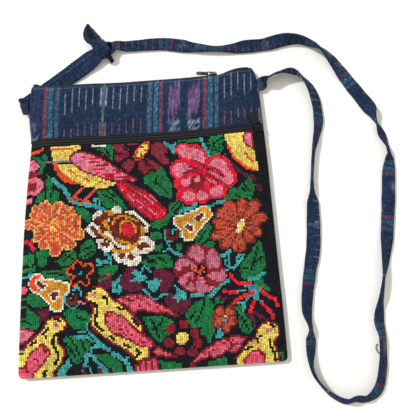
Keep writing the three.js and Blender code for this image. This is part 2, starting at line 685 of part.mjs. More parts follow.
// A pull in its slider's frame: turned about the way out, then drooping about its cross bar.
function hungPull(frame, base, turn, droop) {
  const hang = new THREE.Matrix4().makeTranslation(0, 0, base + ARCH_OPENING / 2);
  hang.multiply(new THREE.Matrix4().makeRotationZ(degToRad(turn)));
  hang.multiply(new THREE.Matrix4().makeRotationY(degToRad(droop)));
  return pullTab().applyMatrix4(frame.clone().multiply(hang));
}

// The knot, with sockets that the straps and the loose ends go into.
function knot(looseEnds) {
  const loop = new THREE.SphereGeometry(1, 14, 10);
  loop.scale(KNOT_LOOP_RADII.x, KNOT_LOOP_RADII.y, KNOT_LOOP_RADII.z);
  loop.translate(KNOT_LOOP.x, KNOT_LOOP.y, KNOT_LOOP.z);
  const wrap = new THREE.TorusGeometry(KNOT_WRAP_RADIUS, KNOT_WRAP_THICK, 8, 18).rotateY(Math.PI / 2);
  wrap.scale(KNOT_WRAP_WIDEN, 1, KNOT_WRAP_FLATTEN).rotateZ(degToRad(KNOT_WRAP_TURN_DEG));
  wrap.translate(KNOT_WRAP.x, KNOT_WRAP.y, KNOT_WRAP.z);
  const body = solidOf(loop).add(solidOf(wrap));
  const sockets = [leftStrap(GAP), ...looseEnds.map((frames) => sweep(frames, GAP))].map(solidOf);
  const hollowed = sockets.reduce((left, socket) => left.subtract(socket), body);
  const pieces = hollowed.decompose().sort((a, b) => b.volume() - a.volume());
  return geometryOf(pieces[0]);
}

const strapRight = rightStrapFrames();
const tailLong = tailFrames(LONG_TAIL);
const tailShort = tailFrames(SHORT_TAIL);

const pocketPull = hungPull(pocketFrame, PLATE_TOP, POCKET_PULL_TURN, POCKET_PULL_DROOP);

// A tape of the pocket zip runs from seam to seam. The coil stops at the slider.
function pocketTape(from, to) {
  return zipStrip([0, 1], from, to, leftEdge(ZIP_Y), rightEdge(ZIP_Y), () => WALL - TAPE_THICKNESS);
}

function pocketCoil() {
  const fromX = leftEdge(ZIP_Y) + COIL_END_INSET;
  const toX = POCKET_SLIDER_X - PLATE_HALF_LENGTH - 2 * GAP;
  const sunk = (v) => COIL_BELOW_CLOTH + (v === 0 || v === 1 ? COIL_EDGE_DROP : 0);
  return zipStrip([0, 0.3, 0.7, 1], -COIL_HALF, COIL_HALF, fromX, toX, sunk);
}

const tapeFrom = COIL_HALF + GAP;
const tapeTo = SLOT_HALF - GAP;
const topCoilFrom = TOP_OPENING[0].x + TOP_TAPE_INSET;
const topCoilTo = TOP_SLIDER_X - CAP_HALF_LENGTH - GAP;

// The coil of the top zip: a bar along the top edge, just outside the cloth.
function topCoil() {
  return slab(ALONG_ZIP, [0, 0.5, 1], (u, v) => {
    const middle = topMiddle(lerp(topCoilFrom, topCoilTo, u));
    const half = v === 1 ? TOP_COIL_CROWN : TOP_COIL_HALF;
    const y = middle.y + lerp(TOP_COIL_FROM, TOP_COIL_TO, v);
    return { x: middle.x, y, high: middle.z + half, low: middle.z - half };
  });
}

const BLACK_ZIP = { color: 0x2a2a2e, roughness: 0.75, metalness: 0.0 };
const DARK_METAL = { color: 0x3a3a3e, roughness: 0.35, metalness: 0.8 };
const NAVY_CLOTH = { color: 0x26344f, roughness: 0.9, metalness: 0.0 };
const BLACK_CLOTH = { color: 0x15171f, roughness: 0.9, metalness: 0.0 };

const part = new THREE.Group();

function addPiece(name, geometry, look) {
  const mesh = new THREE.Mesh(geometry, new THREE.MeshStandardMaterial(look));
  mesh.name = name;
  part.add(mesh);
}

addPiece("back_panel", backWall(), NAVY_CLOTH);
addPiece("embroidered_panel", frontWall(UP_PANEL, panelRow), BLACK_CLOTH);
addPiece("front_band", frontWall(UP_BAND, bandRow), NAVY_CLOTH);
addPiece("pocket_zip_tape_upper", pocketTape(tapeFrom, tapeTo), BLACK_ZIP);
addPiece("pocket_zip_tape_lower", pocketTape(-tapeTo, -tapeFrom), BLACK_ZIP);
addPiece("pocket_zip_coil", pocketCoil(), BLACK_ZIP);
addPiece("pocket_zip_slider", pocketSlider().applyMatrix4(pocketFrame), DARK_METAL);
addPiece("pocket_zip_pull", pocketPull, DARK_METAL);
addPiece("top_zip_tape_front", topTape((x, y) => {
  const high = frontHeight(x, y) - WALL - TOP_TAPE_CLEAR;
  return { high, low: high - TOP_TAPE_THICKNESS };
}), BLACK_ZIP);
addPiece("top_zip_tape_back", topTape((x, y) => {
  const low = backHeight(x, y) + WALL + TOP_TAPE_CLEAR;
  return { high: low + TOP_TAPE_THICKNESS, low };
}), BLACK_ZIP);
addPiece("top_zip_coil", topCoil(), BLACK_ZIP);
addPiece("top_zip_slider", topSlider().applyMatrix4(topFrame), DARK_METAL);
addPiece("top_zip_pull", hungPull(topFrame, CAP_WEB_TO, TOP_PULL_TURN, TOP_PULL_DROOP), DARK_METAL);
addPiece("strap_left", leftStrap(), NAVY_CLOTH);
addPiece("strap_right", sweep(strapRight), NAVY_CLOTH);
addPiece("strap_tail_long", sweep(tailLong), NAVY_CLOTH);
addPiece("strap_tail_short", sweep(tailShort), NAVY_CLOTH);
addPiece("strap_knot", knot([strapRight, tailLong, tailShort]), NAVY_CLOTH);

export default part;
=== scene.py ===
# %% [markdown]
# # A cloth crossbody bag with an embroidered front
#
# The real bag is soft: a navy woven cloth with dyed stripes, a black panel covered in counted
# stitches, two zips and a long strap of the same cloth tied in a knot. The frame that is loaded
# here holds its plain solids. Each soft solid is replaced by a finer surface in the same place,
# worked out with numpy, and the hard sliders and pulls keep their solids and get rounded edges.

import bpy
import numpy as np
from mathutils import Matrix


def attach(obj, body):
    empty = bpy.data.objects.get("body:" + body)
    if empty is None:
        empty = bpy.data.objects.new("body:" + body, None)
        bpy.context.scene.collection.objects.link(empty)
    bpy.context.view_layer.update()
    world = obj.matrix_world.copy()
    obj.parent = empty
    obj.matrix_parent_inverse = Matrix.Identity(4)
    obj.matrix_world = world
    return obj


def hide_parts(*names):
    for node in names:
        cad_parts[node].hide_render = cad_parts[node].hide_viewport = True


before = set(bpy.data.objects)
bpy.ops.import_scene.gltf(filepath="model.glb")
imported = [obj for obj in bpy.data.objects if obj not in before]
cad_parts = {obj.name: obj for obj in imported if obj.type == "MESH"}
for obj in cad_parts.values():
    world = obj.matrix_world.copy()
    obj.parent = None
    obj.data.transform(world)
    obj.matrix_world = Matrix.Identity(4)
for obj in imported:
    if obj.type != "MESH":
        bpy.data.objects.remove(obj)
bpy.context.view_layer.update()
MM = 0.001

# %% [markdown]
# ## Camera, floor and light
#
# The picture looks almost straight down, from a little below the bag's bottom edge, with the bag
# turned slightly. The camera's three axes are built from those two angles. A sun from the upper left,
# about halfway up, gives the light grey shadows, and a bright even sky fills them, as a white studio
# does.

# %% The camera
CAMERA_AIM = np.array([61.0, 3.0, 0.0])
CAMERA_DISTANCE = 520.0
CAMERA_TILT = np.radians(10.5)
CAMERA_SPIN = np.radians(3.7)
LENS_PER_SENSOR = 1.25

floor_way = np.array([np.sin(CAMERA_SPIN), np.cos(CAMERA_SPIN), 0])
right_way = np.array([np.cos(CAMERA_SPIN), -np.sin(CAMERA_SPIN), 0])
upright = np.array([0, 0, 1.0])
camera_pose = np.eye(4)
camera_pose[:3, 0] = right_way
camera_pose[:3, 1] = floor_way * np.cos(CAMERA_TILT) + upright * np.sin(CAMERA_TILT)
camera_pose[:3, 2] = upright * np.cos(CAMERA_TILT) - floor_way * np.sin(CAMERA_TILT)
camera_pose[:3, 3] = (CAMERA_AIM + CAMERA_DISTANCE * camera_pose[:3, 2]) * MM

camera = bpy.data.objects.new("camera", bpy.data.cameras.new("camera"))
camera.data.lens = camera.data.sensor_width * LENS_PER_SENSOR
camera.matrix_world = Matrix(camera_pose.tolist())
bpy.context.scene.collection.objects.link(camera)
bpy.context.scene.camera = camera
print("camera at", np.round(camera_pose[:3, 3], 3), "with a lens of", round(camera.data.lens, 1), "mm")

# %% Sun and sky
SUN_STRENGTH = 2.7
SUN_WIDTH = np.radians(5)
SUN_HEIGHT = np.radians(43)
SUN_FROM = np.radians(146)
SKY_STRENGTH = 0.78
SKY_COLOUR = (1.0, 0.95, 0.86, 1)

sun = bpy.data.objects.new("sun", bpy.data.lights.new("sun", "SUN"))
sun.data.energy = SUN_STRENGTH
sun.data.angle = SUN_WIDTH
sun.rotation_euler = (0, np.pi / 2 - SUN_HEIGHT, SUN_FROM)
bpy.context.scene.collection.objects.link(sun)

sky = bpy.data.worlds.new("sky")
sky.use_nodes = True
background = sky.node_tree.nodes["Background"].inputs
background["Color"].default_value = SKY_COLOUR
background["Strength"].default_value = SKY_STRENGTH
bpy.context.scene.world = sky
bpy.context.scene.view_settings.view_transform = "Standard"

# %% [markdown]
# ## Helpers for meshes and materials
#
# Every piece below is made of grids of points. One helper joins the points of a grid into faces, and
# one puts points and faces into a mesh object, says which body it rides on, which material slot it
# has and which solid it stands in for. Colours that follow the cloth are stored in the mesh itself,
# and the materials read them from there.

# %% Mesh helpers
def grid_faces(rows, columns, first=0, wrap=False):
    """Corners of a grid's quads, row after row; wrap also joins the last column to the first."""
    across = columns if wrap else columns - 1
    row, column = np.meshgrid(np.arange(rows - 1), np.arange(across), indexing="ij")
    after = (column + 1) % columns
    low, high = row * columns, (row + 1) * columns
    corners = [low + column, low + after, high + after, high + column]
    return first + np.stack(corners, axis=-1).reshape(-1, 4)


def grid_points(x, y, z):
    """The points of a grid as one list, row after row."""
    return np.stack([x, y, z], axis=-1).reshape(-1, 3)


def new_piece(name, points, face_sets, material, node=None, body="bag"):
    """A mesh object from points in millimetres and arrays of faces, each with three or four corners."""
    sizes = np.concatenate([np.full(len(faces), faces.shape[1]) for faces in face_sets])
    corners = np.concatenate([faces.ravel() for faces in face_sets])
    mesh = bpy.data.meshes.new(name)
    mesh.vertices.add(len(points))
    mesh.vertices.foreach_set("co", (points * MM).astype(np.float32).ravel())
    mesh.loops.add(len(corners))
    mesh.loops.foreach_set("vertex_index", corners.astype(np.int32))
    mesh.polygons.add(len(sizes))
    mesh.polygons.foreach_set("loop_start", (np.cumsum(sizes) - sizes).astype(np.int32))
    mesh.polygons.foreach_set("use_smooth", np.ones(len(sizes), bool))
    mesh.update(calc_edges=True)
    mesh.materials.append(material)
    piece = bpy.data.objects.new(name, mesh)
    bpy.context.scene.collection.objects.link(piece)
    if body:
        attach(piece, body)
    if node:
        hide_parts(node)
    print(name, "has", int((sizes - 2).sum()), "triangles")
    return piece


def paint(piece, colours, domain="POINT"):
    """Stores linear colours, one for each point or face corner, as the piece's attribute named dye."""
    layer = piece.data.color_attributes.new("dye", "FLOAT_COLOR", domain)
    layer.data.foreach_set("color", np.c_[colours, np.ones(len(colours))].astype(np.float32).ravel())


# %% Material helpers
def linear(screen):
    """Turns a screen colour such as 26344F into the linear red, green and blue that shaders take."""
    channels = np.array([int(screen[at:at + 2], 16) for at in (0, 2, 4)]) / 255
    return np.where(channels <= 0.04045, channels / 12.92, ((channels + 0.055) / 1.055) ** 2.4)


def screen_colours(**screens):
    """Linear colours by name, from screen colours by name."""
    return {name: linear(screen) for name, screen in screens.items()}


class Nodes:
    """Short ways to add and link the shader nodes of one material."""

    def __init__(self, name):
        self.material = bpy.data.materials.new(name)
        self.material.use_nodes = True
        self.tree = self.material.node_tree
        self.shader = self.tree.nodes["Principled BSDF"]

    def add(self, kind, links=(), **values):
        node = self.tree.nodes.new("ShaderNode" + kind)
        for key, value in values.items():
            if hasattr(node, key):
                setattr(node, key, value)
            else:
                node.inputs[key.replace("_", " ")].default_value = value
        for socket, source in dict(links).items():
            self.tree.links.new(source, node.inputs[socket])
        return node

    def finish(self, **values):
        for key, value in values.items():
            self.shader.inputs[key.replace("_", " ")].default_value = value

    def link(self, source, socket):
        self.tree.links.new(source, self.shader.inputs[socket])


def speckled(name, low, high, scale, rough, metallic=0.0):
    """A colour that varies from a low to a high tone from place to place, as dust and wear make it."""
    nodes = Nodes(name)
    place = nodes.add("TexCoord").outputs["Object"]
    cloudy = nodes.add("TexNoise", {"Vector": place}, Scale=scale, Detail=3.0)
    tone = nodes.add("ValToRGB", {"Fac": cloudy.outputs["Fac"]})
    tone.color_ramp.elements[0].color = (*low, 1)
    tone.color_ramp.elements[1].color = (*high, 1)
    nodes.link(tone.outputs["Color"], "Base Color")
    nodes.finish(Roughness=rough, Metallic=metallic)
    return nodes.material


# %% The floor
FLOOR_SIZE = 3000.0
FLOOR_TONES = ((0.86, 0.86, 0.85), (0.9, 0.9, 0.89))

floor_look = speckled("floor", *FLOOR_TONES, scale=3.0, rough=0.9)
ends = np.array([-FLOOR_SIZE / 2, FLOOR_SIZE / 2])
floor_x, floor_y = np.meshgrid(ends, ends)
floor_points = grid_points(floor_x, floor_y, np.zeros((2, 2)))
floor = new_piece("floor", floor_points, [grid_faces(2, 2)], floor_look, body=None)

# %% [markdown]
# ## The strap's route
#
# The strap is a flat tube of cloth that lies on the floor and turns over on itself. A curve alone
# can't say how it is rolled, so each row of the table holds a place, the roll about the run, the
# width and how far it is raised. The same rows shape the frame's solid, so the two coincide.

# %% Rows of the long strap
STRAP_WIDTH = 14.3
STRAP_THICKNESS = 3.2
FLOOR_CLEARANCE = 0.15

# x, y, roll in degrees, width, raise
RIGHT_STRAP = np.array([
    (-28.5, 181.0, 0, 8.0, 4.6),
    (-23.8, 181.6, 0, 9.4, 4.0),
    (-13.3, 181.3, 0, 12.6, 0.8),
    (24.8, 181.8, 0, STRAP_WIDTH, 0),
    (43.3, 178.4, 6, STRAP_WIDTH, 0),
    (81.0, 172.0, -24, 8.4, 0),
    (111.1, 172.8, 10, STRAP_WIDTH, 0),
    (129.7, 173.9, 5, STRAP_WIDTH, 0),
    (153.9, 176.2, 45, STRAP_WIDTH, 0),
    (168.0, 174.6, 76, STRAP_WIDTH, 0),
    (180.0, 169.2, 95, STRAP_WIDTH, 0),
    (192.1, 161.4, 128, STRAP_WIDTH, 0),
    (212.8, 131.2, 176, STRAP_WIDTH, 0),
    (226.5, 108.5, 188, STRAP_WIDTH, 0),
    (233.0, 96.0, 206, STRAP_WIDTH, 0),
    (236.8, 85.2, 264, 8.6, 0),
    (242.8, 66.4, 333, 10.2, 0),
    (247.0, 50.6, 286, 8.6, 0),
    (247.0, 41.4, 330, 12.0, 0),
    (244.8, 26.0, 354, STRAP_WIDTH, 0),
    (239.0, -14.7, 356, STRAP_WIDTH, 0),
    (229.9, -59.2, 317, STRAP_WIDTH, 0),
    (224.6, -82.0, 291, 12.0, 0),
    (216.4, -116.9, 326, STRAP_WIDTH, 0),
    (217.4, -133.2, 310, STRAP_WIDTH, 0),
    (213.2, -165.4, 318, STRAP_WIDTH, 0),
    (206.4, -180.8, 322, STRAP_WIDTH, 0),
    (195.0, -186.8, 302, STRAP_WIDTH, 0),
    (186.4, -186.0, 296, STRAP_WIDTH, 0),
    (176.8, -187.8, 292, STRAP_WIDTH, 0),
    (160.0, -177.5, 276, 13.0, 0),
    (148.6, -158.8, 256, 13.0, 0),
    (149.7, -131.4, 218, STRAP_WIDTH, 0),
    (150.9, -120.3, 248, 10.0, 0),
    (148.8, -104.0, 220, STRAP_WIDTH, 0),
    (154.9, -69.7, 200, STRAP_WIDTH, 0),
    (161.6, -43.9, 180, STRAP_WIDTH, 0),
    (165.2, 0.6, 204, STRAP_WIDTH, 0),
    (166.4, 20.0, 250, 8.0, 0),
    (171.2, 53.0, 246, 8.4, 0),
    (179.6, 88.5, 214, 13.6, 0),
    (174.0, 122.9, 226, STRAP_WIDTH, 0),
    (157.4, 140.0, 265, STRAP_WIDTH, 0),
    (144.0, 139.8, 248, STRAP_WIDTH, 0),
    (131.6, 134.2, 254, STRAP_WIDTH, 0.5),
    (125.6, 128.9, 330, 13.8, 1.8),
    (122.3, 128.4, 360, 13.6, 2.3),
])


# %% A smooth run through the rows
def smooth_rows(rows, per_row):
    """A centripetal spline: between two rows a cubic whose slopes weigh the neighbours by the square
    root of their distance, so that the curve neither loops nor overshoots."""
    rows = np.asarray(rows, float)
    padded = np.vstack([2 * rows[0] - rows[1], rows, 2 * rows[-1] - rows[-2]])
    gap = np.maximum(np.linalg.norm(np.diff(padded, axis=0), axis=1), 1e-6) ** 0.5
    step = np.arange((len(rows) - 1) * per_row + 1) / per_row
    index = np.minimum(step.astype(int), len(rows) - 2)
    share = (step - index)[:, None]
    a, b, c, d = (padded[index + k] for k in range(4))
    before, here, after = (gap[index + k][:, None] for k in range(3))
    slope_b = ((b - a) / before - (c - a) / (before + here) + (c - b) / here) * here
    slope_c = ((c - b) / here - (d - b) / (here + after) + (d - c) / after) * here
    cubic = 2 * b - 2 * c + slope_b + slope_c
    square = 3 * c - 3 * b - 2 * slope_b - slope_c
    return cubic * share ** 3 + square * share ** 2 + slope_b * share + b


def strap_ways(centres, roll):
    """The ways across a strap and out of its face: the level way across the run, turned about the run."""
    along = np.gradient(centres, axis=0)
    along /= np.linalg.norm(along, axis=1)[:, None]
    level = np.c_[along[:, 1], -along[:, 0], np.zeros(len(along))]
    level /= np.linalg.norm(level, axis=1)[:, None]
    side = level * np.cos(roll)[:, None] + np.cross(along, level) * np.sin(roll)[:, None]
    return side, np.cross(side, along)


# %% The section of a strap
SECTION_POINTS = 48
SECTION_POWER = 4
SECTION_CROWDING = 0.35

# Points over the upper face and back under the lower one, crowded a little towards the edges. The
# fourth powers of across and out add up to 1, which makes a flat oval.
half_round = np.arange(SECTION_POINTS // 2) / (SECTION_POINTS // 2)
even = 1 - 2 * half_round
upper_across = even + SECTION_CROWDING * (np.cos(np.pi * half_round) - even)
upper_out = (1 - np.abs(upper_across) ** SECTION_POWER) ** (1 / SECTION_POWER)
section_across = np.r_[upper_across, -upper_across]
section_out = np.r_[upper_out, -upper_out]


def tube_faces(rings, sides):
    """Quads between rings of points, and a fan of triangles over each end."""
    fan = np.arange(1, sides - 1)
    start = np.stack([np.zeros_like(fan), fan, fan + 1], axis=-1)
    end = (rings - 1) * sides + np.stack([np.zeros_like(fan), fan + 1, fan], axis=-1)
    return [grid_faces(rings, sides, wrap=True)[:, ::-1], np.vstack([start, end])]


def columns_at(table, at):
    """The other columns of a table at some values of its first column."""
    return [np.interp(at, table[:, 0], column) for column in table.T[1:]]


def run_length(centres):
    """Distance along a line of points, from its first point."""
    return np.r_[0, np.cumsum(np.linalg.norm(np.diff(centres, axis=0), axis=1))]


print("the long strap has", len(RIGHT_STRAP), "rows")

# %% [markdown]
# ## The dyed cloth
#
# Band, back and strap are cut from one cloth: navy, with lengthwise stripes, and with threads that
# were tied and dyed before weaving, so that a line changes from white to navy to orange along its
# way. A function of two distances, across the stripes and along them, gives the colour of every
# thread, and each piece asks it with its own distances.

# %% Colours and stripes of the cloth
DYES = screen_colours(
    navy="172640", light_navy="33486B", burgundy="6E3A50", teal="2A7A98", teal_speck="7CC3D8",
    grey_green="5C7E8C", white="97A7B8", orange="92605C", purple="634778", lilac="8C79A6",
)
STRIPE_REPEAT = 161.3
REPEAT_CLIMB = 8.0
DASH_REPEAT = 84.0
DASH_START = 72.0
DASH_SHIFT = 2.5

# middle in the repeat, half width, dye, dye of the specks, share covered
PLAIN_STRIPES = [
    (-0.3, 2.2, "burgundy", "orange", 0.62),
    (5.0, 2.3, "teal", "teal_speck", 0.36),
    (11.4, 2.0, "grey_green", "white", 0.24),
    (57.7, 1.4, "grey_green", "white", 0.4),
    (104.8, 2.2, "grey_green", "white", 0.28),
    (111.1, 2.1, "teal", "teal_speck", 0.36),
    (116.2, 1.9, "burgundy", "orange", 0.62),
]

# middle in the repeat, half width, from and to of the white stretch, from and to of the orange one
TIED_THREADS = [
    (19.4, 0.4, 108, 129, 80, 92.5),
    (26.3, 0.4, 110, 135, 80, 93),
    (33.2, 0.36, 116, 135, 86, 97),
    (40.0, 0.36, 111, 133, 85, 95),
    (46.8, 0.36, 117, 135, 85, 97.5),
    (55.0, 0.8, 115, 135, 82, 97),
    (60.4, 0.8, 115, 135, 82, 97),
    (67.4, 0.36, 111, 134, 85, 95.5),
    (74.6, 0.36, 110, 134, 86, 94),
    (81.5, 0.36, 115, 136, 85, 98),
    (88.7, 0.4, 118, 136, 85, 98.5),
    (96.0, 0.36, 117, 135, 85, 99),
]
TIED_BLOCKS = [(129.6, 6.0), (149.5, 6.0)]
BLOCK_PURPLE = (102.0, 133.0)
BLOCK_WHITE = (83.0, 95.0)
BLOCK_SLANT = 0.9
BLOCK_RAGGED = 12.0

# distances over which each kind of edge fades
STRIPE_SOFT = 0.8
THREAD_SOFT = 0.7
DASH_SOFT = 3.0
BLOCK_SIDE_SOFT = 1.2
PURPLE_SOFT = 7.0
WHITE_SOFT = 4.0

# spacing of the threads one way and the other, of twisted yarns and their slant, and of ragged ends
THREAD_PITCH = 0.9
PICK_PITCH = 1.1
TWIST_PITCH = 0.8
TWIST_SLANT = 0.6
RAGGED_PITCH = 1.6

# how long a streak of each dye keeps its shade
NAVY_STREAK = 7
PURPLE_STREAK = 9
LILAC_STREAK = 5
WHITE_STREAK = 4

# the least shade of the navy, and what a streak and the grain add to it
NAVY_SHADE = (0.7, 0.35, 0.25)
# the least shade of the other dyes, and what the grain adds to it
DYE_SHADE = (0.7, 0.6)

# how far each layer covers: a least share and what chance adds, or one share
LIGHT_COVER = 0.75
STRIPE_COVER = (0.55, 0.65)
THREAD_COVER = (0.4, 0.4)
PURPLE_COVER = (0.45, 0.5)
LILAC_COVER = 0.6
WHITE_COVER = 0.5


# %% The colour of each thread
def scatter(a, b, seed):
    """Numbers from 0 to 1 that look random but depend only on two whole numbers and a seed."""
    mixed = np.sin(np.floor(a) * 12.9898 + np.floor(b) * 78.233 + seed * 37.719) * 43758.5453
    return mixed - np.floor(mixed)


def inside(value, middle, half, soft):
    """1 where a value is within half of the middle, fading to 0 over the soft distance."""
    return np.clip((half + soft / 2 - np.abs(value - middle)) / soft, 0, 1)


def between(value, low, high, soft):
    return inside(value, (low + high) / 2, (high - low) / 2, soft)


def bell(value, middle, spread):
    """1 at the middle, falling smoothly to almost 0 two spreads away from it."""
    return np.exp(-((value - middle) / spread) ** 2)


def lay_over(colour, layer, cover):
    """Colours with a layer of another colour over them, as far as it covers."""
    return colour + (layer - colour) * cover[..., None]


def rare(chance, steep, less):
    """0 for low chances, climbing to 1 for high ones."""
    return np.clip(chance * steep - less, 0, 1)


def dyed_cloth(across, along, stripes=1.0, threads=1.0):
    """Colour of the cloth at distances across and along its stripes: flecked navy first, then each
    stripe laid over it. Specks, threads and blocks have their own ragged ends. The last two values
    say how strongly the plain stripes and the tied threads were dyed."""
    p = np.mod(across, STRIPE_REPEAT)
    climbed = along + DASH_SHIFT - REPEAT_CLIMB * np.floor(across / STRIPE_REPEAT)
    q = DASH_START + np.mod(climbed - DASH_START, DASH_REPEAT)
    thread = np.floor(across / THREAD_PITCH)
    pick = np.floor(along / PICK_PITCH)
    grain = scatter(thread, pick, 2)
    streak = scatter(thread, along / NAVY_STREAK, 1)
    navy_shade = NAVY_SHADE[0] + NAVY_SHADE[1] * streak + NAVY_SHADE[2] * grain
    colour = DYES["navy"] * navy_shade[..., None]
    colour = lay_over(colour, DYES["light_navy"], LIGHT_COVER * rare(grain, 4, 3))
    fleck = (DYE_SHADE[0] + DYE_SHADE[1] * grain)[..., None]
    for middle, half, dye, speck, share in PLAIN_STRIPES:
        away = np.mod(across - middle + STRIPE_REPEAT / 2, STRIPE_REPEAT) - STRIPE_REPEAT / 2
        on_stripe = stripes * inside(away, 0, half, STRIPE_SOFT)
        twist = scatter(across / TWIST_PITCH, along + TWIST_SLANT * np.mod(across, 2), middle)
        twisted = (STRIPE_COVER[0] + STRIPE_COVER[1] * twist).clip(0, 1)
        colour = lay_over(colour, DYES[dye] * fleck, on_stripe * share * twisted)
        colour = lay_over(colour, DYES[speck], on_stripe * share * rare(twist, 6, 4.6))
    for middle, half, white_low, white_high, orange_low, orange_high in TIED_THREADS:
        shown = THREAD_COVER[0] + THREAD_COVER[1] * grain
        on_thread = threads * inside(p, middle, half, THREAD_SOFT) * shown
        on_white = between(q, white_low, white_high, DASH_SOFT)
        on_orange = between(q, orange_low, orange_high, DASH_SOFT)
        colour = lay_over(colour, DYES["white"] * fleck, on_thread * on_white)
        colour = lay_over(colour, DYES["orange"] * fleck, on_thread * on_orange)
    ragged = BLOCK_RAGGED * (scatter(across / RAGGED_PITCH, 0, 6) - 0.5)
    slanted = across - BLOCK_SLANT * along
    for middle, half in TIED_BLOCKS:
        in_block = stripes * inside(p, middle, half, BLOCK_SIDE_SOFT)
        streaks = scatter(across / PICK_PITCH, along / PURPLE_STREAK, 7)
        streaks = PURPLE_COVER[0] + PURPLE_COVER[1] * streaks
        on_purple = in_block * between(q - ragged - p + middle, *BLOCK_PURPLE, PURPLE_SOFT)
        colour = lay_over(colour, DYES["purple"] * fleck, on_purple * streaks)
        pale = rare(scatter(across / THREAD_PITCH, along / LILAC_STREAK, 8), 3, 2)
        colour = lay_over(colour, DYES["lilac"], LILAC_COVER * on_purple * pale)
        strokes = rare(scatter(slanted, along / WHITE_STREAK, 9), 2.4, 1)
        on_white = in_block * between(q - ragged / 3, *BLOCK_WHITE, WHITE_SOFT)
        colour = lay_over(colour, DYES["white"] * fleck, WHITE_COVER * on_white * strokes)
    return colour


# %% The woven material
WAVE_TEXTURE_RATE = 20
WEAR = (0.5, 1.5)


def weave_height(nodes, place, pitch):
    """Height of a plain weave: ridges along one way times ridges along the other. At a scale of 1 the
    wave texture turns by its rate, in radians, over each metre."""
    scale = 2 * np.pi / WAVE_TEXTURE_RATE / (pitch * MM)
    waves = []
    for way in "XY":
        wave = nodes.add("TexWave", {"Vector": place}, bands_direction=way, Scale=scale, Distortion=1.5)
        waves.append(wave.outputs["Fac"])
    return nodes.add("Math", dict(enumerate(waves)), operation="MULTIPLY").outputs[0]


def woven(name, coordinate, pitch=1.1, depth=0.35):
    """Cloth that shows the piece's own dye, worn a little unevenly, with a woven relief."""
    nodes = Nodes(name)
    places = nodes.add("TexCoord").outputs
    dye = nodes.add("VertexColor", layer_name="dye")
    cloudy = nodes.add("TexNoise", {"Vector": places["Object"]}, Scale=140.0, Detail=5.0)
    worn = nodes.add("MapRange", {"Value": cloudy.outputs["Fac"]})
    worn.inputs["To Min"].default_value = WEAR[0]
    worn.inputs["To Max"].default_value = WEAR[1]
    tint = nodes.add("VectorMath", {0: dye.outputs["Color"], 1: worn.outputs[0]}, operation="MULTIPLY")
    height = weave_height(nodes, places[coordinate], pitch)
    bump = nodes.add("Bump", {"Height": height}, Strength=depth, Distance=0.4 * MM)
    nodes.link(tint.outputs[0], "Base Color")
    nodes.link(bump.outputs["Normal"], "Normal")
    nodes.finish(Roughness=0.92, Specular_IOR_Level=0.1, Sheen_Weight=0.03, Sheen_Roughness=0.6)
    return nodes.material


striped_look = woven("striped_cloth", "Object")
strap_look = woven("strap_cloth", "UV")

# %% [markdown]
# ## The straps
#
# A strap is its section carried along its run. The section is a flat oval. Small ripples keep its
# edges soft, and creases that wander along it catch the light. The long strap lies on whatever edge
# of its section is lowest.

# %% Carrying a section along a run
EDGE_RIPPLE = 0.25
FACE_RIPPLE = 0.3
CREASE_DEPTH = 0.32
CREASE_WIDTH = 0.16
CREASE_DEEPEST = 1.2
CREASE_FADE_PACE = 0.6
WORN_COLOUR = linear("8F9296")

# how slowly each crease wanders, where its wave starts and how far it goes from the middle
CREASE_LINES = [(41, 1.0, 0.5), (29, 3.4, 0.6), (17, 5.2, 0.7)]

# how slowly the ripples rise and fall, and where each wave starts
EDGE_WAVES = [(5.3, 0), (8.9, 1.3), (2.9, 0.4)]
FACE_WAVES = [(7.1, 2.0), (3.7, 0)]


def creases(run):
    """How deep the creases are round each ring, as a share: lines that wander and fade."""
    depth = 0
    for pace, start, reach in CREASE_LINES:
        line = reach * np.sin(run / pace + start)[:, None]
        fade = 0.5 + 0.5 * np.sin(run / (CREASE_FADE_PACE * pace) + start)[:, None]
        depth = depth + fade * bell(section_across, line, CREASE_WIDTH)
    return CREASE_DEPTH * np.minimum(depth, CREASE_DEEPEST)


def mean_wave(run, waves):
    return sum(np.sin(run / pace + start) for pace, start in waves) / len(waves)


def rippled_section(run, width, thickness):
    """Half sizes of a strap's section along its run: edges that wander, faces that swell and sink."""
    half_width = width / 2 + EDGE_RIPPLE * (mean_wave(run, EDGE_WAVES) - 1)
    half_thickness = thickness / 2 + FACE_RIPPLE * (mean_wave(run, FACE_WAVES) - 1)
    out = half_thickness[:, None] * section_out * (1 - creases(run))
    return half_width[:, None] * section_across, out


def sweep(centres, side, face, across, out):
    """Points of a section carried along a run: each ring's centre plus the ways across and out."""
    return centres[:, None] + side[:, None] * across[..., None] + face[:, None] * out[..., None]


def strap_piece(node, points, stripes, across, dyes, shade=1.0, worn=0.0):
    """A strap's mesh, dyed by its places in the stripes and across, which are also its UV in metres."""
    rings, sides = points.shape[:2]
    faces = tube_faces(rings, sides)
    piece = new_piece("soft_" + node, points.reshape(-1, 3), faces, strap_look, node)
    stripes, shade, worn = (np.broadcast_to(value, across.shape) for value in (stripes, shade, worn))
    colours = dyed_cloth(stripes, across + STRAP_CUT, *dyes) * shade[..., None]
    paint(piece, lay_over(colours, WORN_COLOUR, worn).reshape(-1, 3))
    corner = np.zeros(len(piece.data.loops), np.int32)
    piece.data.loops.foreach_get("vertex_index", corner)
    layer = piece.data.uv_layers.new(name="cloth")
    distances = np.c_[across.ravel(), stripes.ravel()] * MM
    layer.data.foreach_set("uv", distances[corner].astype(np.float32).ravel())
    return piece


# %% The long strap
STEPS_PER_ROW = 42
STRAP_CUT = 90.0
SEWN_GAP = 0.15
SEWN_RUN = 7.0

# y and x of the right seam where the strap is sewn in
SEAM_BY_STRAP = ((105.0, 130.0, 142.0), (122.0, 120.2, 118.2))

